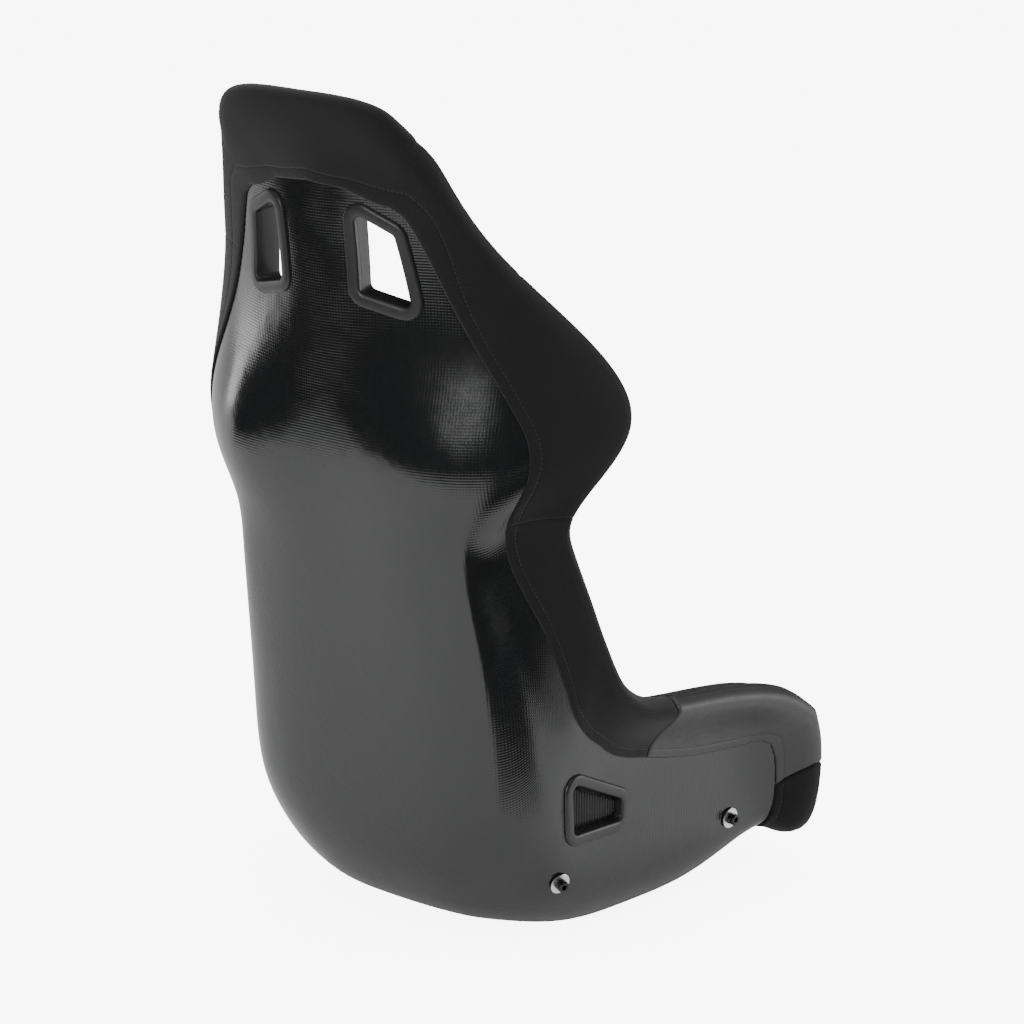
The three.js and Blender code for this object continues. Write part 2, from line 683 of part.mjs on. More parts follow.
// Plate with upright ribs that closes a lap belt slot, facing +X.
function makeSideBlank() {
  const edge = new THREE.Shape(outline(SIDE_OPENING, -5 * GAP));
  const plate = new THREE.ExtrudeGeometry(edge, { depth: BLANK_THICKNESS, bevelEnabled: false });
  const deep = new THREE.ExtrudeGeometry(edge, { depth: BLANK_THICKNESS + 3, bevelEnabled: false });
  const ys = SIDE_OPENING.map(([y]) => y);
  const ribs = [];
  for (let y = Math.min(...ys) + RIB_PITCH; y < Math.max(...ys) - RIB_WIDTH; y += RIB_PITCH) {
    const rib = new THREE.BoxGeometry(RIB_WIDTH, 200, 2 * BLANK_THICKNESS + 5);
    ribs.push(toManifold(rib.translate(y, 150, 0)));
  }
  const bars = ribs.reduce((sum, rib) => sum.add(rib)).intersect(toManifold(deep));
  const flat = fromManifold(toManifold(plate).add(bars));
  const upright = new THREE.Matrix4().makeBasis(
    new THREE.Vector3(0, 1, 0),
    new THREE.Vector3(0, 0, 1),
    new THREE.Vector3(1, 0, 0),
  );
  return flat.applyMatrix4(upright).translate(FLANK - BLANK_DEPTH - BLANK_THICKNESS, 0, 0);
}

// ---------------------------------------------------------------- mounting hardware
const WASHER = { inner: 4.4, outer: 12, thickness: 1.6, lift: 1.2 };
const HEAD = { radius: 6.5, height: 8, socket: 3.4, socketDepth: 4.2 };
const SHANK_LENGTH = 16; // of the screw inside the skin
const INSERT = { plate: 14, boss: 7.5, plateThickness: 3, length: 12, depth: 4 };

function makeWasher(y) {
  const { inner, outer, thickness, lift } = WASHER;
  const top = lift + thickness;
  return turned([[lift, inner], [lift, outer], [top, outer], [top, inner], [lift, inner]], y);
}

function makeScrew(y) {
  const seat = WASHER.lift + WASHER.thickness + GAP;
  const top = seat + HEAD.height;
  const profile = [
    [-SHANK_LENGTH, 0], [-SHANK_LENGTH, BOLT_RADIUS - 0.8], [0.8 - SHANK_LENGTH, BOLT_RADIUS],
    [seat, BOLT_RADIUS], [seat, HEAD.radius], [top - 0.6, HEAD.radius],
    [top, HEAD.radius - 0.6], [top, 0],
  ];
  const socket = new THREE.CylinderGeometry(HEAD.socket, HEAD.socket, 2 * HEAD.socketDepth, 6);
  socket.rotateZ(Math.PI / 2).translate(top, 0, 0).applyMatrix4(boltFrame(y));
  return cut(turned(profile, y), socket);
}

// Threaded insert bonded to the inside of the side wall, on a bed of resin where the wall bends.
function makeInsert(y) {
  const face = -SHELL_THICKNESS - INSERT.depth;
  const bore = BOLT_RADIUS + GAP;
  const profile = [
    [face, bore], [face - INSERT.length, bore], [face - INSERT.length, INSERT.boss],
    [face - INSERT.plateThickness, INSERT.boss], [face - INSERT.plateThickness, INSERT.plate],
    [face, INSERT.plate], [face, bore],
  ];
  return turned(profile, y);
}

// ---------------------------------------------------------------- assembly
const seat = new THREE.Group();

function add(name, geometry, finish) {
  const plain = geometry.clone();
  plain.computeVertexNormals();
  const mesh = new THREE.Mesh(plain, new THREE.MeshStandardMaterial(COLOURS[finish]));
  mesh.name = name;
  seat.add(mesh);
}

// A piece on the occupant's left and its mirror image on the right.
function addPair(name, geometry, finish) {
  add(`${name}_left`, geometry, finish);
  add(`${name}_right`, mirrored(fromManifold(toManifold(geometry))), finish);
}

add("shell", makeShell(), "gelcoat");
add("headrest_cover", makeHeadrestCover(), "knit");
addPair("wing_cover", makeWingCover(), "knit");
addPair("torso_bolster", makeTorsoBolster(), "knit");
addPair("leg_bolster", makeLegBolster(), "leatherette");
add("knee_roll", makeKneeRoll(), "knit");
add("thigh_pad", makeThighPad(), "knit");
add("seat_squab", makeSquab(), "mesh");
add("back_pad", makeBackPad(), "mesh");
add("shoulder_pad", makeShoulderPad(), "knit");
add("head_pad", makeHeadPad(), "mesh");
addPair("squab_grip_strip", makeGripStrip([4, 5, 6]), "hook");
addPair("back_grip_strip", makeGripStrip(above(GRID_V, 10, 14)), "hook");
addPair("harness_bezel_rear", HARNESS.outerBezel(HARNESS_FLANGE, SHELL_THICKNESS), "moulding");
addPair(
  "harness_bezel_front",
  HARNESS.innerBezel(HARNESS_FLANGE, -SHELL_THICKNESS - GAP, PAD_DEPTH),
  "moulding",
);
addPair("side_slot_bezel", LAP.outerBezel(SIDE_FLANGE, SLEEVE_DEPTH), "moulding");
addPair("side_slot_blank", makeSideBlank(), "moulding");
add("crotch_slot_bezel", CROTCH.innerBezel(CROTCH_FLANGE, -0.6), "moulding");
for (const [place, y] of Object.entries(BOLT_PLACES)) {
  addPair(`mount_washer_${place}`, makeWasher(y), "zinc");
  addPair(`mount_screw_${place}`, makeScrew(y), "blackSteel");
  addPair(`mount_insert_${place}`, makeInsert(y), "zinc");
}

export default seat;
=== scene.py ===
"""Racing bucket seat: the looks of every piece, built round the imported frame.

The seat is a one-piece laminated shell. A spline net describes its skin, and every pad, cover and
bezel is laid on that skin. Lengths in the classes are millimetres; meshes are metres.
"""

from __future__ import annotations

import json
import logging
import math
from dataclasses import dataclass, field
from enum import Enum
from typing import Callable, Sequence

import bmesh
import bpy
import numpy as np
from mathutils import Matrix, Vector

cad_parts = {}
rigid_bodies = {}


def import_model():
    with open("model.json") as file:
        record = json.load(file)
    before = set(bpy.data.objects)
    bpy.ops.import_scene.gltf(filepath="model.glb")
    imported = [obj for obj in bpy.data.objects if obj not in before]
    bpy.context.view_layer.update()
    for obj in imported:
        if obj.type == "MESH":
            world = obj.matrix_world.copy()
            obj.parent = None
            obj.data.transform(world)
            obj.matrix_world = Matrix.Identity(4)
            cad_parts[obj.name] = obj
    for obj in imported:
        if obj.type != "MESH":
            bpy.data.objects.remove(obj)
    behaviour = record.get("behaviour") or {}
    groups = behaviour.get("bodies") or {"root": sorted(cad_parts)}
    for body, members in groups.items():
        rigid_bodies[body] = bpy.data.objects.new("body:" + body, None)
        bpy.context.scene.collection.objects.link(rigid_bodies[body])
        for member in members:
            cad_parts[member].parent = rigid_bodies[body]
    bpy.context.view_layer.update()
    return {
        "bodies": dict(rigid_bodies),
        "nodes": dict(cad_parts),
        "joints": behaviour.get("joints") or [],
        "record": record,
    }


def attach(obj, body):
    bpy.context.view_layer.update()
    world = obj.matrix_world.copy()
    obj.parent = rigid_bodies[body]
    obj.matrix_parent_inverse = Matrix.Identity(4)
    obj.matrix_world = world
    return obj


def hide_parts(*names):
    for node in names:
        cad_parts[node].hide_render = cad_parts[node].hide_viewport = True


LOG = logging.getLogger("racing_seat")
MM = 0.001
Pair = tuple[float, float]
Triple = tuple[float, float, float]


class Body(Enum):
    """Moving groups of the frame."""

    SHELL = "shell_body"
    SQUAB = "squab"
    BACK = "back_cushion"


class Slot(Enum):
    """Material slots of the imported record."""

    GELCOAT = "gelcoat_laminate"
    KNIT = "knit_fabric"
    SPACER = "spacer_mesh"
    LEATHERETTE = "leatherette"
    MOULDING = "moulded_plastic"
    BLACK_STEEL = "black_steel"
    ZINC = "zinc_steel"
    HOOK = "hook_and_loop"


class Side(Enum):
    """Which side of the occupant a piece is on; the value is the sign of x."""

    LEFT = 1
    RIGHT = -1


# ------------------------------------------------------------------------------ small helpers


def ease(t: np.ndarray | float) -> np.ndarray:
    """Smooth step from 0 to 1.

    Args:
        t: Share of the way, clipped to 0..1.

    Returns:
        The eased share.
    """
    t = np.clip(t, 0.0, 1.0)
    return t * t * (3.0 - 2.0 * t)


def rounded(t: np.ndarray | float) -> np.ndarray:
    """Quarter circle from 0 to 1, for a rounded border.

    Args:
        t: Share of the border's width, clipped to 0..1.

    Returns:
        Share of the full height.
    """
    t = np.clip(t, 0.0, 1.0)
    return np.sqrt(1.0 - (1.0 - t) ** 2)


def groove(distance: np.ndarray, width: float) -> np.ndarray:
    """Depth share of a sewn groove.

    Args:
        distance: Distance from the seam.
        width: Half width of the groove, in the same unit.

    Returns:
        1 on the seam, falling to 0 beside it.
    """
    return np.exp(-((distance / width) ** 2))


def smooth_table(table: Sequence[Sequence[float]], at: np.ndarray) -> np.ndarray:
    """Reads a table of places and values with a rounded interpolation.

    Args:
        table: Rows of (place, value, value...).
        at: Places to read.

    Returns:
        Array with one row per place and one column per value.
    """
    rows = np.array(table, float)
    fine = np.linspace(rows[0, 0], rows[-1, 0], 600)
    kernel = np.exp(-np.linspace(-2, 2, 25) ** 2)
    kernel /= kernel.sum()
    columns = []
    for k in range(1, rows.shape[1]):
        values = np.interp(fine, rows[:, 0], rows[:, k])
        padded = np.pad(values, 12, mode="reflect", reflect_type="odd")
        columns.append(np.interp(at, fine, np.convolve(padded, kernel, mode="valid")))
    return np.stack(columns, -1)


def unit(vectors: np.ndarray) -> np.ndarray:
    """Vectors scaled to length 1 along the last axis."""
    return vectors / np.maximum(np.linalg.norm(vectors, axis=-1, keepdims=True), 1e-12)


def blur(rows: np.ndarray, spread: float) -> np.ndarray:
    """Smooths a path's values along its first axis.

    Args:
        rows: Values, one row per place.
        spread: Width of the smoothing, in rows.

    Returns:
        Smoothed rows of the same shape.
    """
    reach = int(3 * spread) + 1
    kernel = np.exp(-((np.arange(-reach, reach + 1) / spread) ** 2) / 2)
    kernel /= kernel.sum()
    padded = np.pad(rows, ((reach, reach), (0, 0)), mode="edge")
    return np.stack([np.convolve(padded[:, k], kernel, "valid") for k in range(rows.shape[1])], -1)


# ------------------------------------------------------------------------------ meshes


@dataclass
class Surface:
    """Faces in the making: vertices in metres, faces, and per-face data.

    Attributes:
        vertices: Points, one row each.
        faces: Vertex numbers of each face.
        materials: Material number of each face, or None for all 0.
        cloth: Cloth coordinates of each vertex in metres, or None.
    """

    vertices: np.ndarray
    faces: list[tuple[int, ...]]
    materials: list[int] | None = None
    cloth: np.ndarray | None = None

    def mirrored(self) -> "Surface":
        """The same surface on the other side of the middle plane."""
        vertices = self.vertices * np.array([-1.0, 1.0, 1.0])
        faces = [tuple(reversed(face)) for face in self.faces]
        return Surface(vertices, faces, self.materials, self.cloth)

    def joined(self, other: "Surface") -> "Surface":
        """This surface and another as one mesh."""
        shift = len(self.vertices)
        faces = self.faces + [tuple(k + shift for k in face) for face in other.faces]
        first = self.materials or [0] * len(self.faces)
        second = other.materials or [0] * len(other.faces)
        cloth = None
        if self.cloth is not None and other.cloth is not None:
            cloth = np.concatenate([self.cloth, other.cloth])
        return Surface(np.concatenate([self.vertices, other.vertices]), faces, first + second, cloth)


def closed_sheet(
    front: np.ndarray,
    back: np.ndarray,
    cloth: np.ndarray | None = None,
    panel: Callable[[int, int], int] | None = None,
) -> Surface:
    """Closed solid between two grids of points.

    Args:
        front: Visible grid, rows by columns by 3.
        back: Hidden grid of the same size.
        cloth: Cloth coordinates of the front grid, rows by columns by 2.
        panel: Material number of a front cell from its row and column.

    Returns:
        The surface.
    """
    rows, columns = front.shape[:2]
    f = np.arange(rows * columns).reshape(rows, columns)
    b = f + rows * columns
    faces: list[tuple[int, ...]] = []
    materials: list[int] = []
    for i in range(rows - 1):
        for j in range(columns - 1):
            faces.append((f[i, j], f[i, j + 1], f[i + 1, j + 1], f[i + 1, j]))
            faces.append((b[i, j], b[i + 1, j], b[i + 1, j + 1], b[i, j + 1]))
            number = panel(i, j) if panel else 0
            materials += [number, number]
    for j in range(columns - 1):
        faces.append((f[0, j + 1], f[0, j], b[0, j], b[0, j + 1]))
        faces.append((f[-1, j], f[-1, j + 1], b[-1, j + 1], b[-1, j]))
    for i in range(rows - 1):
        faces.append((f[i, 0], f[i + 1, 0], b[i + 1, 0], b[i, 0]))
        faces.append((f[i + 1, -1], f[i, -1], b[i, -1], b[i + 1, -1]))
    materials += [0] * (len(faces) - len(materials))
    vertices = np.concatenate([front.reshape(-1, 3), back.reshape(-1, 3)])
    if cloth is not None:
        flat = cloth.reshape(-1, 2)
        cloth = np.concatenate([flat, flat])
    return Surface(vertices, [tuple(int(k) for k in face) for face in faces], materials, cloth)


def ring(loops: Sequence[np.ndarray]) -> Surface:
    """Closed ring whose section is a chain of loops.

    Args:
        loops: Loops of points, all of one length, in order round the section.

    Returns:
        The surface.
    """
    count, total = len(loops[0]), len(loops)
    faces = []
    for a in range(total):
        b = (a + 1) % total
        for k in range(count):
            n = (k + 1) % count
            faces.append((a * count + k, a * count + n, b * count + n, b * count + k))
    return Surface(np.concatenate(loops), faces)


def turned(profile: Sequence[Pair], axis: np.ndarray, steps: int = 40) -> Surface:
    """Solid of revolution.

    Args:
        profile: (height, radius) pairs in mm; a first and last radius of 0 close the ends.
        axis: 4x4 matrix whose x axis is the turning axis, in metres.
        steps: Number of sides.

    Returns:
        The surface.
    """
    angles = np.linspace(0, 2 * math.pi, steps, endpoint=False)
    loops, faces = [], []
    for height, radius in profile:
        reach = max(radius, 1e-3) * MM
        flat = np.stack(
            [np.full(steps, height * MM), reach * np.cos(angles), reach * np.sin(angles), np.ones(steps)], -1
        )
        loops.append((flat @ axis.T)[:, :3])
    for a in range(len(profile) - 1):
        for k in range(steps):
            n = (k + 1) % steps
            faces.append((a * steps + k, a * steps + n, (a + 1) * steps + n, (a + 1) * steps + k))
    if profile[0][1] == 0:
        faces.append(tuple(range(steps)))
        last = (len(profile) - 1) * steps
        faces.append(tuple(last + k for k in reversed(range(steps))))
    return Surface(np.concatenate(loops), faces)


def make_object(
    name: str, surface: Surface, finishes: Sequence[bpy.types.Material], crease: float = 40.0
) -> bpy.types.Object:
    """Makes a Blender object of a surface, smooth but for its sharp edges.

    Args:
        name: Name of the piece.
        surface: The faces.
        finishes: Materials, in the order of the face numbers.
        crease: Angle in degrees above which an edge stays sharp.

    Returns:
        The object, at the origin.
    """
    mesh = bpy.data.meshes.new(name)
    mesh.from_pydata(surface.vertices.tolist(), [], surface.faces)
    for finish in finishes:
        mesh.materials.append(finish)
    if surface.materials:
        mesh.polygons.foreach_set("material_index", np.array(surface.materials, np.int32))
    if surface.cloth is not None:
        loops = np.empty(len(mesh.loops), np.int32)
        mesh.loops.foreach_get("vertex_index", loops)
        layer = mesh.uv_layers.new(name="cloth")
        layer.data.foreach_set("uv", surface.cloth[loops].astype(np.float32).ravel())
    mesh.update()
    piece = bpy.data.objects.new(name, mesh)
    bpy.context.scene.collection.objects.link(piece)
    tidy_normals(piece, crease)
    return piece


def tidy_normals(piece: bpy.types.Object, crease: float) -> None:
    """Turns all faces outwards and shades the mesh smooth between sharp edges.

    Args:
        piece: Mesh object.
        crease: Angle in degrees above which an edge stays sharp.
    """
    bm = bmesh.new()
    bm.from_mesh(piece.data)
    bmesh.ops.recalc_face_normals(bm, faces=bm.faces)
    bm.to_mesh(piece.data)
    bm.free()
    piece.data.shade_smooth()
    piece.data.set_sharp_from_angle(angle=math.radians(crease))


def settle(
    piece: bpy.types.Object, body: Body, nodes: Sequence[str] = ()
) -> bpy.types.Object:
    """Hands a finished piece to the frame.

    Args:
        piece: The object.
        body: Moving group it rides on.
        nodes: Frame nodes it stands for.

    Returns:
        The same object.
    """
    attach(piece, body.value)
    if nodes:
        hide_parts(*nodes)
    LOG.info("%s: %d faces on %s", piece.name, len(piece.data.polygons), body.value)
    return piece


# ------------------------------------------------------------------------------ shell form

STATIONS: dict[str, Sequence[Triple]] = {
    "lip": [
        (0, -258, 98), (75, -258, 96), (128, -257, 84), (190, -252, 46), (222, -257, 50),
        (229, -263, 88), (231, -265, 126), (232, -263, 157), (232, -255, 180),
    ],
    "front": [
        (0, -228, 70), (75, -228, 69), (125, -226, 60), (188, -222, 38), (213, -218, 70),
        (216, -218, 116), (219, -218, 151), (222, -219, 182), (234, -217, 208),
    ],
    "thigh": [
        (0, -185, 32), (75, -185, 32), (118, -183, 26), (180, -180, 20), (204, -186, 64),
        (204, -182, 108), (204, -178, 150), (204, -172, 194), (234, -158, 226),
    ],
    "seat": [
        (0, -110, 0), (75, -110, 0), (112, -110, 0), (178, -110, 0), (204, -110, 45),
        (204, -106, 98), (204, -102, 148), (204, -95, 202), (234, -85, 237),
    ],
    "hip": [
        (0, -20, 0), (75, -20, 0), (110, -20, 0), (178, -20, 0), (204, -20, 45),
        (204, -20, 100), (204, -22, 152), (204, -24, 208), (235, -22, 243),
    ],
    "heel": [
        (0, 70, 0), (75, 70, 0), (110, 68, 0), (177, 62, 2), (204, 58, 45),
        (204, 52, 102), (204, 44, 158), (204, 35, 215), (236, 24, 250),
    ],
    "bend": [
        (0, 124, 0), (75, 122, 0), (105, 117, 3), (166, 107, 11), (204, 102, 50),
        (204, 96, 106), (204, 84, 166), (208, 72, 228), (237, 56, 264),
    ],
    "rise": [
        (0, 182, 22), (75, 180, 23), (111, 171, 27), (166, 154, 38), (203, 142, 70),
        (206, 126, 120), (206, 110, 180), (210, 92, 248), (237, 84, 286),
    ],
    "tail": [
        (0, 216, 71), (75, 215, 72), (121, 208, 76), (179, 186, 86), (204, 156, 108),
        (206, 138, 145), (206, 122, 204), (215, 106, 268), (237, 100, 312),
    ],
    "hips": [
        (0, 232, 140), (75, 231, 140), (134, 229, 140), (194, 210, 142), (206, 173, 165),
        (208, 152, 196), (209, 138, 232), (220, 124, 292), (237, 114, 340),
    ],
    "lumbar": [
        (0, 239, 235), (80, 239, 235), (138, 235, 235), (191, 215, 236), (204, 184, 250),
        (206, 168, 268), (211, 152, 300), (222, 138, 338), (236, 126, 366),
    ],
    "waist": [
        (0, 248, 330), (80, 249, 330), (136, 245, 330), (181, 231, 331), (195, 204, 338),
        (199, 192, 350), (212, 174, 368), (223, 156, 388), (236, 142, 404),
    ],
    "rib": [
        (0, 262, 415), (80, 264, 415), (132, 257, 415), (171, 248, 416), (181, 222, 420),
        (185, 214, 428), (202, 196, 438), (218, 180, 447), (235, 166, 454),
    ],
    "fold": [
        (0, 272, 470), (80, 275, 470), (132, 266, 470), (169, 251, 472), (181, 228, 478),
        (187, 219, 486), (204, 203, 494), (219, 192, 498), (234, 184, 498),
    ],
    "armpit": [
        (0, 280, 515), (82, 285, 516), (150, 281, 518), (200, 254, 520), (222, 236, 526),
        (228, 226, 532), (240, 208, 538), (250, 188, 540), (258, 170, 540),
    ],
    "shoulder": [
        (0, 288, 580), (80, 292, 580), (150, 286, 580), (206, 254, 582), (238, 224, 585),
        (256, 196, 589), (267, 171, 592), (275, 146, 596), (282, 121, 597),
    ],
    "wing": [
        (0, 294, 650), (65, 284, 652), (121.7, 266.7, 655), (180.2, 243.5, 658), (212.2, 223.7, 658),
        (234.8, 202.5, 656), (251.8, 178.3, 654), (262.3, 155.4, 650), (269, 134, 648),
    ],
    "neck": [
        (0, 300, 720), (52, 286, 722), (105, 269, 725), (150, 255, 727), (180, 241, 726),
        (202, 223, 722), (216, 205.6, 716), (228, 187.2, 710), (234, 172, 704),
    ],
    "slot": [
        (0, 304, 785), (50, 292, 787), (98.4, 278.6, 790), (136, 267, 792), (158.4, 256.6, 792),
        (169, 249, 789), (176, 242.6, 785), (181.7, 237.5, 780), (184, 232, 776),
    ],
    "head": [
        (0, 310, 848), (50, 302, 850), (95.8, 292.4, 850), (131, 281.8, 850), (144.8, 275.9, 848),
        (150, 271.2, 846), (152.5, 268.2, 843), (154.2, 264.7, 840), (155, 261, 837),
    ],
    "crown": [
        (0, 316, 903), (46, 313, 902), (82, 309, 899), (107, 304, 893.5), (118, 300, 889),
        (127, 294, 885), (133, 288, 882), (137, 281.5, 879), (140, 275, 876),
    ],
    "top": [
        (0, 319, 934), (44, 318, 934), (78, 315, 931.5), (101, 310, 926), (111, 306, 919),
        (118, 302, 911), (123.5, 298, 904), (128, 293, 897.5), (131, 288, 891),
    ],
}


@dataclass
class Form:
    """Outer skin of the shell as a spline net.

    u runs across from rim to rim (0 in the middle, positive on the occupant's left) and v from the
    front lip to the crown.
    """

    rim: int = 8
    thickness: float = 4.0
    net: np.ndarray = field(init=False)
    top: int = field(init=False)

    def __post_init__(self) -> None:
        """Mirrors the stations into a full net with a border for the end conditions."""
        half = np.array(list(STATIONS.values()), float) * MM
        left = half[:, :0:-1] * np.array([-1.0, 1.0, 1.0])
        full = np.concatenate([left, half], axis=1)
        full = np.concatenate([2 * full[:1] - full[1:2], full, 2 * full[-1:] - full[-2:-1]])
        ends = [2 * full[:, :1] - full[:, 1:2], full, 2 * full[:, -1:] - full[:, -2:-1]]
        self.net = np.concatenate(ends, axis=1)
        self.top = len(half) - 1

    @staticmethod
    def weights(t: np.ndarray) -> np.ndarray:
        """Weights of the four control points around a place in a spline cell."""
        cubic = [(1 - t) ** 3, 3 * t**3 - 6 * t**2 + 4, -3 * t**3 + 3 * t**2 + 3 * t + 1, t**3]
        return np.stack(cubic, -1) / 6

    def skin(self, u: np.ndarray, v: np.ndarray) -> np.ndarray:
        """Points of the outer skin.

        Args:
            u: Places across.
            v: Places along, same shape.

        Returns:
            Points in metres, with one more axis of 3.
        """
        u = np.clip(u, -self.rim, self.rim) + self.rim
        v = np.clip(v, 0, self.top)
        i = np.minimum(v.astype(int), self.top - 1)
        j = np.minimum(u.astype(int), 2 * self.rim - 1)
        along, across = self.weights(v - i), self.weights(u - j)
        total = np.zeros(np.shape(u) + (3,))
        for a in range(4):
            for b in range(4):
                share = along[..., a] * across[..., b]
                total += share[..., None] * self.net[i + a, j + b]
        return total

    def calmed(self, u: np.ndarray, v: np.ndarray) -> tuple[np.ndarray, np.ndarray]:
        """Places pulled in from the corners, where two edges run on into each other.

        Args:
            u: Places across.
            v: Places along.

        Returns:
            u and v whose directions stand in for those of the given places.
        """
        reach = 0.5
        over_u = np.maximum(np.abs(u) - (self.rim - reach), 0)
        over_top = np.maximum(v - (self.top - reach), 0)
        over_lip = np.maximum(reach - v, 0)
        inwards = over_u * np.maximum(over_top, over_lip) / reach
        return u - np.sign(u) * inwards, v - (over_top - over_lip) * over_u / reach

    def normal(self, u: np.ndarray, v: np.ndarray) -> np.ndarray:
        """Unit normals of the skin, pointing away from the occupant."""
        step = 2e-3
        u, v = self.calmed(u, v)
        across = self.skin(u + step, v) - self.skin(u - step, v)
        along = self.skin(u, v + step) - self.skin(u, v - step)
        return unit(np.cross(along, across))

    def lifted(self, u: np.ndarray, v: np.ndarray, lift: np.ndarray | float) -> np.ndarray:
        """Points lifted off the skin along the normal.

        Args:
            u: Places across.
            v: Places along.
            lift: Height in mm; negative is towards the occupant.

        Returns:
            Points in metres.
        """
        height = np.asarray(lift, float) * MM
        return self.skin(u, v) + self.normal(u, v) * height[..., None]

    def locate(
        self, axes: tuple[int, int], targets: np.ndarray, guess: Pair
    ) -> tuple[np.ndarray, np.ndarray]:
        """Places on the skin whose two named coordinates are given.

        Args:
            axes: The two coordinates (0 for x, 1 for y, 2 for z).
            targets: Wanted values in mm, one row each.
            guess: Starting place (u, v).

        Returns:
            u and v of every target.
        """
        wanted = targets * MM
        u, v = np.full(len(targets), guess[0]), np.full(len(targets), guess[1])
        step = 1e-3
        for _ in range(9):
            here = self.skin(u, v)[:, axes]
            over_u = (self.skin(u + step, v)[:, axes] - here) / step
            over_v = (self.skin(u, v + step)[:, axes] - here) / step
            miss = wanted - here
            det = over_u[:, 0] * over_v[:, 1] - over_u[:, 1] * over_v[:, 0]
            u = u + (miss[:, 0] * over_v[:, 1] - miss[:, 1] * over_v[:, 0]) / det
            v = v + (over_u[:, 0] * miss[:, 1] - over_u[:, 1] * miss[:, 0]) / det
        return u, v


FORM = Form()


# ------------------------------------------------------------------------------ openings


@dataclass
class Opening:
    """A strap opening of the shell, drawn as a polygon seen along one axis.

    Attributes:
        corners: Corner places in mm.
        axes: The two coordinates they give.
        guess: A place (u, v) near the opening.
        radius: Corner radius in mm.
        arc_steps: Points on each round corner.
        edge_steps: Parts that each straight edge is split into.
    """

    corners: Sequence[Pair]
    axes: tuple[int, int]
    guess: Pair
    radius: float = 7.0
    arc_steps: int = 9
    edge_steps: int = 8

    def outline(self, grow: float) -> np.ndarray:
        """The polygon grown outwards with round corners.

        Args:
            grow: Distance in mm.

        Returns:
            Points in the two axes, mm.
        """
        points = np.array(self.corners, float)
        following = np.roll(points, -1, axis=0)
        area = np.sum(points[:, 0] * following[:, 1] - points[:, 1] * following[:, 0])
        turn = 1.0 if area > 0 else -1.0
        side = unit(following - points)
        outwards = np.stack([side[:, 1], -side[:, 0]], -1) * turn
        radius = self.radius + grow
        arcs = []
        for k, corner in enumerate(points):
            before, after = outwards[k - 1], outwards[k]
            bisector = unit(before + after)
            centre = corner + bisector * (grow - radius) / (bisector @ after)
            start = math.atan2(before[1], before[0])
            sweep = math.atan2(after[1], after[0]) - start
            sweep = (sweep + math.pi) % (2 * math.pi) - math.pi
            angles = start + sweep * np.linspace(0, 1, self.arc_steps)
            arcs.append(centre + radius * np.stack([np.cos(angles), np.sin(angles)], -1))
        path = []
        for k, arc in enumerate(arcs):
            target = arcs[(k + 1) % len(arcs)][0]
            shares = np.linspace(0, 1, self.edge_steps + 1)[1:-1, None]
            path += [arc, arc[-1] + (target - arc[-1]) * shares]
        return np.concatenate(path)

    def loop(self, grow: float, lift: float) -> np.ndarray:
        """The outline laid on the skin.

        Args:
            grow: Distance it is grown by, mm.
            lift: Height off the outer skin, mm.

        Returns:
            Points in metres.
        """
        u, v = FORM.locate(self.axes, self.outline(grow), self.guess)
        return FORM.lifted(u, v, np.full(len(u), lift))

    def framed(self, profile: Sequence[Pair]) -> Surface:
        """Ring round the opening with a section of (grow, lift) pairs."""
        return ring([self.loop(grow, lift) for grow, lift in profile])

    def plug(self, grow: float, low: float, high: float) -> Surface:
        """Solid that cuts the opening, between two heights in mm."""
        first, second = self.loop(grow, low), self.loop(grow, high)
        count = len(first)
        faces: list[tuple[int, ...]] = [
            (k, (k + 1) % count, count + (k + 1) % count, count + k) for k in range(count)
        ]
        faces += [tuple(reversed(range(count))), tuple(range(count, 2 * count))]
        return Surface(np.concatenate([first, second]), faces)


HARNESS = Opening([(57, 822), (100, 801), (113, 722), (56, 735)], (0, 2), (1.6, 17.7))
LAP = Opening([(122, 190), (118, 129), (38, 126), (36, 150)], (1, 2), (5.5, 6.0))
CROTCH = Opening([(-38, -78), (38, -78), (38, -100), (-38, -100)], (0, 1), (0.1, 3.2))


# ------------------------------------------------------------------------------ finishes


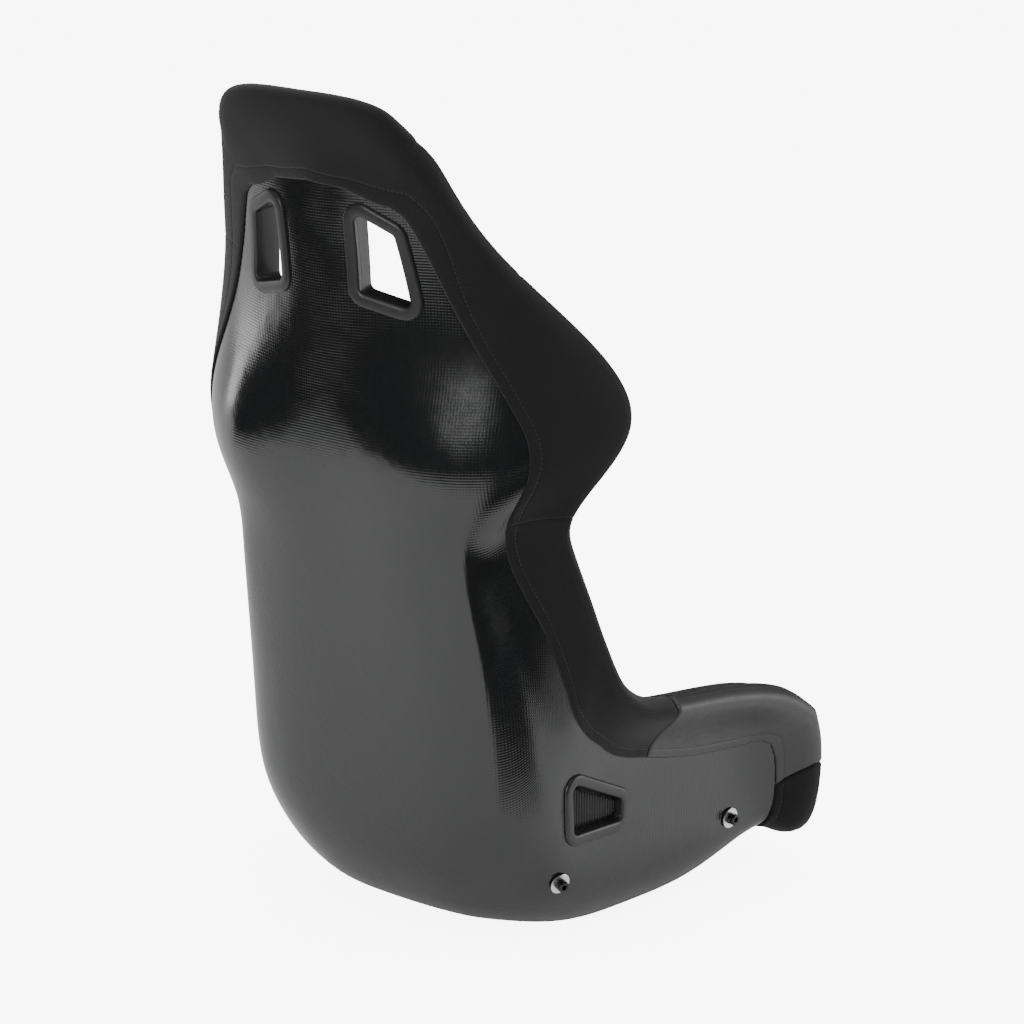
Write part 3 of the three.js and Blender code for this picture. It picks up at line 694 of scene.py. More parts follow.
class Shader:
    """A material under construction, with short ways to make its nodes."""

    def __init__(self, name: str, colour: Triple, roughness: float, metallic: float = 0.0) -> None:
        """Starts a principled material.

        Args:
            name: Name of the material.
            colour: Base colour, linear.
            roughness: Roughness.
            metallic: 0 or 1.
        """
        self.material = bpy.data.materials.new(name)
        self.material.use_nodes = True
        self.nodes = self.material.node_tree.nodes
        self.links = self.material.node_tree.links
        self.surface = self.nodes["Principled BSDF"]
        self.surface.inputs["Base Color"].default_value = (*colour, 1.0)
        self.surface.inputs["Roughness"].default_value = roughness
        self.surface.inputs["Metallic"].default_value = metallic

    def set(self, **values: float) -> None:
        """Sets the surface's own sockets; an underscore stands for a blank."""
        for name, value in values.items():
            self.surface.inputs[name.replace("_", " ").title().replace("Ior", "IOR")].default_value = value

    def feed(self, socket: bpy.types.NodeSocket, value: object) -> None:
        """Puts a number on a socket or links another node's output to it."""
        if isinstance(value, bpy.types.NodeSocket):
            self.links.new(value, socket)
        else:
            socket.default_value = value

    def math(self, operation: str, *values: object) -> bpy.types.NodeSocket:
        """A math node.

        Args:
            operation: Blender's name of it.
            values: Numbers or outputs.

        Returns:
            Its output.
        """
        node = self.nodes.new("ShaderNodeMath")
        node.operation = operation
        for socket, value in zip(node.inputs, values):
            self.feed(socket, value)
        return node.outputs[0]

    def place(self, cloth: bool) -> bpy.types.NodeSocket:
        """Coordinates in metres: along the cloth, or in the object."""
        node = self.nodes.new("ShaderNodeTexCoord")
        return node.outputs["UV" if cloth else "Object"]

    def split(self, vector: bpy.types.NodeSocket) -> list[bpy.types.NodeSocket]:
        """The three parts of a vector."""
        node = self.nodes.new("ShaderNodeSeparateXYZ")
        self.links.new(vector, node.inputs[0])
        return list(node.outputs)

    def noise(
        self, place: bpy.types.NodeSocket, scale: float, detail: float = 3.0, roughness: float = 0.5
    ) -> bpy.types.NodeSocket:
        """Noise from 0 to 1.

        Args:
            place: Coordinates in metres.
            scale: Cells per metre.
            detail: Octaves.
            roughness: Share of the fine octaves.

        Returns:
            The factor.
        """
        node = self.nodes.new("ShaderNodeTexNoise")
        self.links.new(place, node.inputs["Vector"])
        node.inputs["Scale"].default_value = scale
        node.inputs["Detail"].default_value = detail
        node.inputs["Roughness"].default_value = roughness
        return node.outputs["Fac"]

    def wave(self, coordinate: bpy.types.NodeSocket, pitch: float) -> bpy.types.NodeSocket:
        """Sine from -1 to 1 along a coordinate; the pitch is in mm."""
        return self.math("SINE", self.math("MULTIPLY", coordinate, 2 * math.pi / (pitch * MM)))

    def ramp(self, value: bpy.types.NodeSocket, low: float, high: float) -> bpy.types.NodeSocket:
        """Smooth 0 to 1 as a value goes from low to high."""
        node = self.nodes.new("ShaderNodeMapRange")
        node.interpolation_type = "SMOOTHSTEP"
        self.links.new(value, node.inputs["Value"])
        node.inputs["From Min"].default_value = low
        node.inputs["From Max"].default_value = high
        return node.outputs["Result"]

    def tint(self, factor: bpy.types.NodeSocket, first: Triple, second: Triple) -> None:
        """Base colour between two colours.

        Args:
            factor: 0 for the first, 1 for the second.
            first: Colour, linear.
            second: Colour, linear.
        """
        node = self.nodes.new("ShaderNodeMix")
        node.data_type = "RGBA"
        self.links.new(factor, node.inputs[0])
        node.inputs[6].default_value = (*first, 1.0)
        node.inputs[7].default_value = (*second, 1.0)
        self.links.new(node.outputs[2], self.surface.inputs["Base Color"])

    def rough(self, factor: bpy.types.NodeSocket, low: float, high: float) -> None:
        """Roughness between two values.

        Args:
            factor: 0 to 1.
            low: Roughness at 0.
            high: Roughness at 1.
        """
        value = self.math("MULTIPLY_ADD", factor, high - low, low)
        self.links.new(value, self.surface.inputs["Roughness"])

    def bump(self, height: bpy.types.NodeSocket, depth: float) -> None:
        """Surface relief.

        Args:
            height: Height field, about -1 to 1.
            depth: Height in mm of one unit.
        """
        node = self.nodes.new("ShaderNodeBump")
        node.inputs["Strength"].default_value = 1.0
        node.inputs["Distance"].default_value = depth * MM
        self.links.new(height, node.inputs["Height"])
        previous = self.surface.inputs["Normal"].links
        if previous:
            self.links.new(previous[0].from_socket, node.inputs["Normal"])
        self.links.new(node.outputs["Normal"], self.surface.inputs["Normal"])


@dataclass(frozen=True)
class Gelcoat:
    """Glossy black gelcoat with the laminate's weave showing through."""

    colour: Triple = (0.0065, 0.0068, 0.0072)
    rib_pitch: float = 3.1
    warp_pitch: float = 3.6
    relief: float = 0.06

    def make(self) -> bpy.types.Material:
        """The finished material."""
        s = Shader("gelcoat", self.colour, 0.12)
        s.set(ior=1.58)
        cloth = s.place(True)
        across, along, _ = s.split(cloth)
        patches = s.noise(s.place(False), 9.0, 2.0)
        ribs = s.wave(along, self.rib_pitch)
        warp = s.wave(across, self.warp_pitch)
        weave = s.math("ADD", s.math("MULTIPLY", ribs, 0.7), s.math("MULTIPLY", warp, 0.35))
        knots = s.math("MULTIPLY", s.math("MULTIPLY", ribs, warp), 0.35)
        weave = s.math("ADD", weave, knots)
        weave = s.math("MULTIPLY", weave, s.ramp(patches, 0.25, 0.6))
        s.bump(weave, self.relief)
        s.bump(s.noise(s.place(False), 38.0, 2.0), 0.35)
        s.rough(s.noise(s.place(False), 60.0, 4.0), 0.09, 0.2)
        return s.material


@dataclass(frozen=True)
class Knit:
    """Fine black knit with wales along the cloth."""

    colour: Triple = (0.0038, 0.0038, 0.0041)
    light: Triple = (0.0075, 0.0075, 0.008)

    def make(self) -> bpy.types.Material:
        """The finished material."""
        s = Shader("knit", self.colour, 0.95)
        s.set(sheen_weight=0.12, sheen_roughness=0.45)
        s.surface.inputs["Specular IOR Level"].default_value = 0.18
        across, along, _ = s.split(s.place(True))
        wales = s.math("MULTIPLY", s.wave(across, 1.15), s.wave(along, 0.95))
        fuzz = s.noise(s.place(False), 1400.0, 3.0, 0.7)
        mottle = s.noise(s.place(False), 24.0, 3.0)
        s.tint(s.math("MULTIPLY_ADD", fuzz, 0.6, s.math("MULTIPLY", mottle, 0.4)), self.colour, self.light)
        s.bump(s.math("ADD", s.math("MULTIPLY", wales, 0.5), fuzz), 0.12)
        return s.material


@dataclass(frozen=True)
class SpacerMesh:
    """Black spacer mesh: staggered rows of pale dots on a dark ground."""

    ground: Triple = (0.006, 0.006, 0.0063)
    dot: Triple = (0.05, 0.05, 0.052)
    pitch: float = 4.6

    def make(self) -> bpy.types.Material:
        """The finished material."""
        s = Shader("spacer_mesh", self.ground, 0.9)
        s.set(sheen_weight=0.1, sheen_roughness=0.5)
        across, along, _ = s.split(s.place(True))
        first = s.math("MULTIPLY", s.wave(across, self.pitch), s.wave(along, self.pitch))
        dots = s.ramp(first, 0.25, 0.75)
        fuzz = s.noise(s.place(False), 1100.0, 3.0, 0.7)
        s.tint(s.math("MULTIPLY", dots, s.math("MULTIPLY_ADD", fuzz, 0.8, 0.5)), self.ground, self.dot)
        s.bump(s.math("ADD", dots, s.math("MULTIPLY", fuzz, 0.3)), 0.45)
        return s.material


@dataclass(frozen=True)
class Leatherette:
    """Dark grey leatherette with a fine pebble grain."""

    colour: Triple = (0.021, 0.0212, 0.0218)
    light: Triple = (0.029, 0.0293, 0.03)

    def make(self) -> bpy.types.Material:
        """The finished material."""
        s = Shader("leatherette", self.colour, 0.5)
        place = s.place(False)
        node = s.nodes.new("ShaderNodeTexVoronoi")
        node.inputs["Scale"].default_value = 900.0
        s.links.new(place, node.inputs["Vector"])
        pebbles = node.outputs["Distance"]
        s.tint(s.noise(place, 40.0, 4.0), self.colour, self.light)
        s.rough(s.noise(place, 130.0, 3.0), 0.42, 0.58)
        s.bump(pebbles, 0.09)
        s.bump(s.noise(place, 55.0, 3.0), 0.25)
        return s.material


@dataclass(frozen=True)
class Moulding:
    """Black injection-moulded plastic with a fine spark-eroded texture."""

    colour: Triple = (0.011, 0.011, 0.0115)

    def make(self) -> bpy.types.Material:
        """The finished material."""
        s = Shader("moulding", self.colour, 0.38)
        place = s.place(False)
        s.rough(s.noise(place, 90.0, 4.0), 0.3, 0.46)
        s.bump(s.noise(place, 1500.0, 2.0, 0.6), 0.05)
        return s.material


@dataclass(frozen=True)
class Metal:
    """Plated steel with fine turning marks.

    Attributes:
        name: Name of the material.
        colour: Base colour, linear.
        smoothest: Lowest roughness.
        dullest: Highest roughness.
    """

    name: str
    colour: Triple
    smoothest: float
    dullest: float

    def make(self) -> bpy.types.Material:
        """The finished material."""
        s = Shader(self.name, self.colour, self.smoothest, 1.0)
        place = s.place(False)
        s.rough(s.noise(place, 260.0, 4.0), self.smoothest, self.dullest)
        s.bump(s.noise(place, 900.0, 3.0), 0.03)
        return s.material


@dataclass(frozen=True)
class HookTape:
    """Black hook-and-loop tape with rows of hooks."""

    colour: Triple = (0.006, 0.006, 0.006)

    def make(self) -> bpy.types.Material:
        """The finished material."""
        s = Shader("hook_tape", self.colour, 0.95)
        x, y, z = s.split(s.place(False))
        rows = s.math("MULTIPLY", s.wave(x, 1.6), s.wave(s.math("ADD", y, z), 1.6))
        s.tint(s.ramp(rows, 0.0, 0.8), self.colour, (0.02, 0.02, 0.02))
        s.bump(rows, 0.4)
        return s.material


@dataclass(frozen=True)
class Thread:
    """Black sewing thread, two plies twisted."""

    colour: Triple = (0.012, 0.012, 0.0125)

    def make(self) -> bpy.types.Material:
        """The finished material."""
        s = Shader("thread", self.colour, 0.6)
        s.set(sheen_weight=0.2)
        x, y, z = s.split(s.place(False))
        s.bump(s.wave(s.math("ADD", s.math("ADD", x, y), z), 0.5), 0.06)
        return s.material


class Palette:
    """All finishes of the seat, made once."""

    def __init__(self) -> None:
        """Makes every material."""
        self.gelcoat = Gelcoat().make()
        self.knit = Knit().make()
        self.spacer = SpacerMesh().make()
        self.leatherette = Leatherette().make()
        self.moulding = Moulding().make()
        self.zinc = Metal("zinc", (0.78, 0.79, 0.8), 0.22, 0.36).make()
        self.black_steel = Metal("black_steel", (0.05, 0.05, 0.053), 0.3, 0.42).make()
        self.hook = HookTape().make()
        self.thread = Thread().make()


# ------------------------------------------------------------------------------ shell


@dataclass
class Shell:
    """The laminated shell with its strap openings.

    Attributes:
        across: Cells per net column.
        along: Cells per net row.
        sleeve: How far the holes reach past the openings' outlines, mm.
    """

    across: int = 8
    along: int = 8
    sleeve: float = 2.8

    def skins(self) -> Surface:
        """Outer and inner skin as one closed solid, without the openings."""
        rim, top = FORM.rim, FORM.top
        us = np.linspace(-rim, rim, 2 * rim * self.across + 1)
        vs = np.linspace(0, top, top * self.along + 1)
        u, v = np.meshgrid(us, vs)
        outer, normal = FORM.skin(u, v), FORM.normal(u, v)
        inner = outer - normal * FORM.thickness * MM
        middle = len(us) // 2
        over = np.linalg.norm(np.diff(outer, axis=1), axis=-1)
        width = np.concatenate([np.zeros((len(vs), 1)), np.cumsum(over, axis=1)], axis=1)
        width -= width[:, middle : middle + 1]
        spine = np.linalg.norm(np.diff(outer[:, middle], axis=0), axis=-1)
        height = np.concatenate([[0], np.cumsum(spine)])
        cloth = np.stack([width, np.broadcast_to(height[:, None], width.shape)], -1)
        return closed_sheet(outer, inner, cloth)

    def cutters(self) -> Surface:
        """All the openings' cutting solids."""
        sides = [HARNESS.plug(self.sleeve, 14, -18), LAP.plug(self.sleeve, 14, -18)]
        total = CROTCH.plug(self.sleeve, 14, -18)
        for cutter in sides:
            total = total.joined(cutter).joined(cutter.mirrored())
        return total

    def build(self, palette: Palette) -> None:
        """Makes the shell.

        Args:
            palette: The finishes.
        """
        piece = make_object("shell_laminate", self.skins(), [palette.gelcoat])
        tool = make_object("shell_cutters", self.cutters(), [])
        modifier = piece.modifiers.new("openings", "BOOLEAN")
        modifier.operation = "DIFFERENCE"
        modifier.solver = "EXACT"
        modifier.object = tool
        depsgraph = bpy.context.evaluated_depsgraph_get()
        cut = bpy.data.meshes.new_from_object(piece.evaluated_get(depsgraph), depsgraph=depsgraph)
        piece.modifiers.clear()
        piece.data = cut
        bpy.data.objects.remove(tool)
        tidy_normals(piece, 50)
        settle(piece, Body.SHELL, ["shell"])


# ------------------------------------------------------------------------------ edge covers


@dataclass
class EdgeCover:
    """Padding that wraps the shell's edge, swept along it.

    s is the place along the edge: 0 in the middle of the crown, 8 at the crown's corner, 29 at the
    lip's corner and 37 in the middle of the lip, on the occupant's left; negative s is the right.

    Attributes:
        start: First s.
        end: Last s.
        hem: Rows of (s, u, v) where the cover ends on the outside.
        border: Rows of (s, u, v) where it ends on the inside.
        sizes: Rows of (s, roll, overhang, depth): height on the outside by the edge, reach past the
            edge and height on the inside, mm.
        hem_height: Height at the hem, mm.
        border_height: Height at the inner border, mm.
        seams: s values of the seams across the cover.
        panel_range: |s| range whose inner face has the second material.
        edge_seam: Angle round the roll of the seam along the cover, degrees.
        panel_angle: Angle round the roll at which the zone of the material changes, degrees.
        clearance: Gap to the shell, mm.
        secant: Share of the way from edge to hem at which a section's direction is taken.
        step: Spacing of the sections, in s.
        end_radius: Length of the taper at the cover's ends.
    """

    start: float
    end: float
    hem: Sequence[Triple]
    border: Sequence[Triple]
    sizes: Sequence[tuple[float, float, float, float]]
    hem_height: float = 2.6
    border_height: float = 4.0
    seams: Sequence[float] = ()
    panel_range: Pair = (99.0, 99.0)
    edge_seam: float = 68.0
    panel_angle: float = 42.0
    clearance: float = 0.4
    secant: float = 0.22
    step: float = 0.11
    end_radius: float = 3.0

    HEM_PLACES = (0.0, 0.4, 1.1, 2.1, 3.4, 6.0, 8.4, 9.4, 10.0, 10.6, 11.6, 14.0, 18.0)
    BODY_CELLS = 12
    CAP_CELLS = 16
    INNER_CELLS = 22

    def places(self) -> np.ndarray:
        """All s values, closer together at the ends and at the seams."""
        rows = list(np.arange(self.start, self.end, self.step)) + [self.end]
        for offset in (0.015, 0.035, 0.06):
            rows += [self.start + offset, self.end - offset]
        for seam in self.seams:
            rows += [seam + offset for offset in (-0.05, -0.025, 0.0, 0.025, 0.05)]
        rows = np.unique(np.round(rows, 4))
        return rows[(rows >= self.start) & (rows <= self.end)]

    @staticmethod
    def edge(s: np.ndarray) -> tuple[np.ndarray, np.ndarray]:
        """(u, v) of the edge at s."""
        t = np.abs(s)
        u = np.where(t < 8, t, np.where(t < 29, 8.0, 37 - t))
        v = np.where(t < 8, 21.0, np.where(t < 29, 29 - t, 0.0))
        return u * np.where(s < 0, -1.0, 1.0), v

    def lines(self, s: np.ndarray, table: Sequence[Triple]) -> tuple[np.ndarray, np.ndarray]:
        """(u, v) of the hem or the border at s."""
        values = smooth_table(table, np.abs(s))
        return values[:, 0] * np.where(s < 0, -1.0, 1.0), values[:, 1]

    def outward(self, s: np.ndarray) -> tuple[np.ndarray, np.ndarray, np.ndarray]:
        """Middle of the shell's edge, the normal there and the direction out of the edge.

        Args:
            s: Places along the edge.

        Returns:
            Points, normals and directions, one row each.
        """
        fine = np.linspace(s[0] - 1.5, s[-1] + 1.5, 1200)
        fine = fine[(fine > -37) & (fine < 45)]
        u, v = self.edge(fine)
        rough = unit(blur(FORM.normal(u, v), 6))
        centre = FORM.skin(u, v) - rough * FORM.thickness / 2 * MM
        along = unit(np.gradient(blur(centre, 14), axis=0))
        hem_u, hem_v = self.lines(fine, self.hem)
        near_u, near_v = u + (hem_u - u) * self.secant, v + (hem_v - v) * self.secant
        towards = FORM.skin(u, v) - FORM.skin(near_u, near_v)
        out = unit(blur(unit(towards - along * (towards * along).sum(-1)[:, None]), 12))
        normal = unit(np.cross(along, out))
        normal *= np.sign((normal * FORM.normal(near_u, near_v)).sum(-1))[:, None]
        normal = unit(blur(normal, 6))
        pick = [np.stack([np.interp(s, fine, a[:, k]) for k in range(3)], -1) for a in (centre, normal, out)]
        return pick[0], unit(pick[1]), unit(pick[2])

    def sections(self) -> tuple[np.ndarray, np.ndarray, np.ndarray, np.ndarray]:
        """Fabric and contact grids.

        Returns:
            The s values, the fabric grid, the contact grid and the height of each fabric point's
            place: 0 on the outside, 1 round the edge, 2 on the inside.
        """
        s = self.places()
        roll, overhang, depth = smooth_table(self.sizes, np.abs(s)).T
        hem_u, hem_v = self.lines(s, self.hem)
        in_u, in_v = self.lines(s, self.border)
        edge_u, edge_v = self.edge(s)
        centre, normal, out = self.outward(s)
        gap, half = self.clearance, FORM.thickness / 2
        ends = np.minimum(s - self.start, self.end - s)
        span = 50.0
        taper = 0.35 + 0.65 * rounded(ends * span / self.end_radius)
        dent = np.zeros(len(s))
        for seam in self.seams:
            dent += 0.9 * groove((s - seam) * span, 1.3)
        fabric, contact, zone = [], [], []
        chord = np.linalg.norm(FORM.skin(edge_u, edge_v) - FORM.skin(hem_u, hem_v), axis=-1) / MM
        chord = np.maximum(chord, 6.0)
        squeeze = np.minimum(1.0, 0.62 * chord / self.HEM_PLACES[-1])
        steps = [place * squeeze for place in self.HEM_PLACES]
        last = steps[-1]
        steps += [last + (chord - last) * k / self.BODY_CELLS for k in range(1, self.BODY_CELLS + 1)]
        for place in steps:
            share = place / chord
            u, v = hem_u + (edge_u - hem_u) * share, hem_v + (edge_v - hem_v) * share
            height = self.hem_height * rounded(place / squeeze / 3.0)
            height += (roll - self.hem_height) * ease(share * 1.02) ** 0.8 * rounded(place / 2)
            height -= 0.7 * groove(place / squeeze - 10.0, 0.55)
            height = np.maximum(height - dent * rounded(share * 3), 0.35) * taper
            fabric.append(FORM.lifted(u, v, gap + height))
            contact.append(FORM.lifted(u, v, np.full(len(s), gap)))
            zone.append(0)
        inner_start = 0.42 * depth
        for k in range(1, self.CAP_CELLS):
            angle = math.pi / 2 - math.pi * k / self.CAP_CELLS
            across = np.where(angle > 0, roll + gap, inner_start + gap) + half
            reach = overhang - dent
            seam_dent = 0.8 * groove(np.array(math.degrees(angle) - self.edge_seam), 5.0)
            across = (across - seam_dent - dent) * (0.55 + 0.45 * taper)
            sine, cosine = math.sin(angle), math.cos(angle)
            up = math.copysign(abs(sine) ** 0.85, sine)
            offset = normal * (across * up)[:, None] + out * (reach * taper * cosine**0.85)[:, None]
            fabric.append(centre + offset * MM)
            near = normal * ((half + gap) * sine) + out * (half + gap) * cosine
            contact.append(centre + near * MM)
            zone.append(1 if angle > math.radians(self.panel_angle) else 2)
        for k in range(self.INNER_CELLS + 1):
            share = k / self.INNER_CELLS
            u, v = edge_u + (in_u - edge_u) * share, edge_v + (in_v - edge_v) * share
            height = inner_start + (self.border_height - inner_start) * ease(share)
            mean_height = 0.5 * (inner_start + self.border_height)
            height += (depth - mean_height) * math.sin(math.pi * share**0.85) ** 1.1
            height = (height - 0.7 * dent) * (0.5 + 0.5 * taper)
            height *= 0.3 + 0.7 * float(rounded((1 - share) * 12))
            fabric.append(FORM.lifted(u, v, -(FORM.thickness + gap + height)))
            contact.append(FORM.lifted(u, v, np.full(len(s), -(FORM.thickness + gap))))
            zone.append(2)
        return s, np.stack(fabric, 1), np.stack(contact, 1), np.array(zone)

    def surface(self) -> tuple[Surface, np.ndarray, np.ndarray]:
        """The cover's faces.

        Returns:
            The surface, the s values and the fabric grid.
        """
        s, fabric, contact, zone = self.sections()
        run = np.linalg.norm(np.diff(fabric[:, 20], axis=0), axis=-1)
        along = np.concatenate([[0], np.cumsum(run)])
        over = np.linalg.norm(np.diff(fabric, axis=1), axis=-1)
        across = np.concatenate([np.zeros((len(s), 1)), np.cumsum(over, axis=1)], axis=1)
        cloth = np.stack([np.broadcast_to(along[:, None], across.shape), across], -1)
        low, high = self.panel_range

        def panel(i: int, j: int) -> int:
            """Second material on the inner face within the range."""
            return int(low <= abs(s[i]) < high and zone[j] == 2)

        return closed_sheet(fabric, contact, cloth, panel), s, fabric


@dataclass(frozen=True)
class Stitching:
    """A row of stitches along a path.

    Attributes:
        pitch: Distance from one stitch to the next, mm.
        length: Length of a stitch, mm.
        radius: Thickness of the thread, mm.
    """

    pitch: float = 5.2
    length: float = 3.6
    radius: float = 0.38

    def along(self, path: np.ndarray) -> Surface:
        """Stitches laid along a path.

        Args:
            path: Points in metres.

        Returns:
            One surface with all the stitches.
        """
        run = np.concatenate([[0], np.cumsum(np.linalg.norm(np.diff(path, axis=0), axis=-1))])
        starts = np.arange(3 * MM, run[-1] - (self.length + 2) * MM, self.pitch * MM)
        shares = (0.0, 0.12, 0.5, 0.88, 1.0)
        girths = (0.25, 0.8, 1.0, 0.8, 0.25)
        sides = 6
        vertices, faces = [], []
        for start in starts:
            spots = start + np.array(shares) * self.length * MM
            points = np.stack([np.interp(spots, run, path[:, k]) for k in range(3)], -1)
            along = unit(points[-1] - points[0])
            helper = np.array([0.0, 0.0, 1.0]) if abs(along[2]) < 0.9 else np.array([1.0, 0.0, 0.0])
            first = unit(np.cross(along, helper))
            second = np.cross(along, first)
            base = len(vertices)
            for point, girth in zip(points, girths):
                for k in range(sides):
                    angle = 2 * math.pi * k / sides
                    spoke = first * math.cos(angle) + second * math.sin(angle)
                    vertices.append(point + spoke * girth * self.radius * MM)
            for a in range(len(shares) - 1):
                for k in range(sides):
                    n = (k + 1) % sides
                    row, after = base + a * sides, base + (a + 1) * sides
                    faces.append((row + k, row + n, after + n, after + k))
            faces.append(tuple(base + k for k in reversed(range(sides))))
            last = base + (len(shares) - 1) * sides
            faces.append(tuple(last + k for k in range(sides)))
        return Surface(np.array(vertices), faces)


@dataclass
class Upholstery:
    """The covers that wrap the shell's edge, with their stitching."""

    knit: EdgeCover = field(
        default_factory=lambda: EdgeCover(
            start=-24.68,
            end=24.68,
            hem=[
                (0, 0, 19.06), (4, 0.95, 18.98), (7, 1.75, 18.74), (8.5, 2.15, 18.68), (9.6, 2.5, 18.5),
                (10.5, 2.82, 18.02), (11.3, 3.08, 17.4), (12.5, 3.36, 16.4), (13.3, 3.71, 15.69),
                (14, 4.13, 15.1), (14.6, 4.28, 14.72), (15.1, 4.6, 14.15), (15.6, 4.92, 13.4),
                (16.2, 5.12, 12.86), (17.8, 6.06, 11.22), (19.5, 6.56, 9.53), (22.6, 6.88, 6.36),
                (24.7, 6.62, 4.33),
            ],
            border=[
                (0, 0, 18.8), (4, 1.6, 18.8), (8, 2.9, 18.6), (9.5, 3.2, 18.2), (11.3, 3.4, 17.3),
                (13, 3.5, 16), (14.5, 3.7, 14.5), (15.5, 4.6, 13.5), (16.2, 5.4, 12.8),
                (17.5, 6, 11.5), (24.7, 6, 4.3),
            ],
            sizes=[
                (0, 9, 12, 12), (8, 10, 14, 12), (10, 10, 14, 16), (12, 10, 14, 22), (14, 10, 14, 24),
                (15.6, 9, 12, 24), (16.5, 9, 11, 30), (19, 10, 12, 34), (24.7, 10, 13, 36),
            ],
            seams=(-15.75, -11.3, 11.3, 15.75),
            panel_range=(11.3, 15.75),
        )
    )
    leg: EdgeCover = field(
        default_factory=lambda: EdgeCover(
            start=24.72,
            end=31.0,
            hem=[
                (24.7, 6.62, 4.33), (25.0, 6.55, 4.05), (26.03, 6.33, 2.97), (26.9, 6.24, 2.1),
                (27.8, 6.3, 1.5), (28.8, 6.2, 1.15), (29.8, 5.7, 0.98), (31, 4.9, 0.9),
            ],
            border=[(24.7, 6, 4.3), (27.5, 6, 1.9), (29, 5.8, 1.45), (30, 5.4, 1.2), (31, 4.8, 1.05)],
            sizes=[(24.7, 10, 14, 36), (28, 12, 15, 34), (29.5, 13, 16, 30), (31, 14, 17, 28)],
            edge_seam=-22.0,
        )
    )
    knee: EdgeCover = field(
        default_factory=lambda: EdgeCover(
            start=31.04,
            end=42.96,
            hem=[(31, 4.9, 0.9), (33, 3.4, 0.85), (35, 1.8, 0.82), (37, 0, 0.82), (43, -4.9, 0.9)],
            border=[(31, 4.8, 1.05), (33, 3.4, 1.0), (35, 1.8, 1.0), (37, 0, 1.0), (43, -4.8, 1.05)],
            sizes=[(31, 14, 17, 28), (33, 14, 18, 30), (37, 14, 18, 32), (41, 14, 18, 30), (43, 14, 17, 28)],
        )
    )
    stitching: Stitching = field(default_factory=Stitching)
    hem_column: int = 8

    def build(self, palette: Palette) -> None:
        """Makes all the covers and their stitches.

        Args:
            palette: The finishes.
        """
        surface, _, grid = self.knit.surface()
        piece = make_object("side_and_head_cover", surface, [palette.knit, palette.spacer], 60)
        nodes = ["headrest_cover"] + [
            f"{part}_{side.name.lower()}" for part in ("wing_cover", "torso_bolster") for side in Side
        ]
        settle(piece, Body.SHELL, nodes)
        self.stitch("cover_hem_stitching", grid[:, self.hem_column], palette)
        surface, s, grid = self.leg.surface()
        first_cap = len(EdgeCover.HEM_PLACES) + EdgeCover.BODY_CELLS
        for side in Side:
            shape = surface if side is Side.LEFT else surface.mirrored()
            flip = np.array([side.value, 1.0, 1.0])
            label = side.name.lower()
            piece = make_object(f"leg_bolster_cover_{label}", shape, [palette.leatherette], 60)
            settle(piece, Body.SHELL, [f"leg_bolster_{label}"])
            self.stitch(f"leg_hem_stitching_{label}", grid[:, self.hem_column] * flip, palette)
            for row, column in (("outer", first_cap + 8), ("inner", first_cap + 10)):
                self.stitch(f"leg_top_stitching_{row}_{label}", grid[:, column] * flip, palette)
        surface, s, grid = self.knee.surface()
        piece = make_object("knee_roll_cover", surface, [palette.knit], 60)
        settle(piece, Body.SHELL, ["knee_roll"])
        self.stitch("knee_roll_stitching", grid[:, self.hem_column], palette)

    def stitch(self, name: str, path: np.ndarray, palette: Palette) -> None:
        """Makes one row of stitches.

        Args:
            name: Name of the piece.
            path: Points in metres.
            palette: The finishes.
        """
        piece = make_object(name, self.stitching.along(path), [palette.thread])
        settle(piece, Body.SHELL)


# ------------------------------------------------------------------------------ cushions


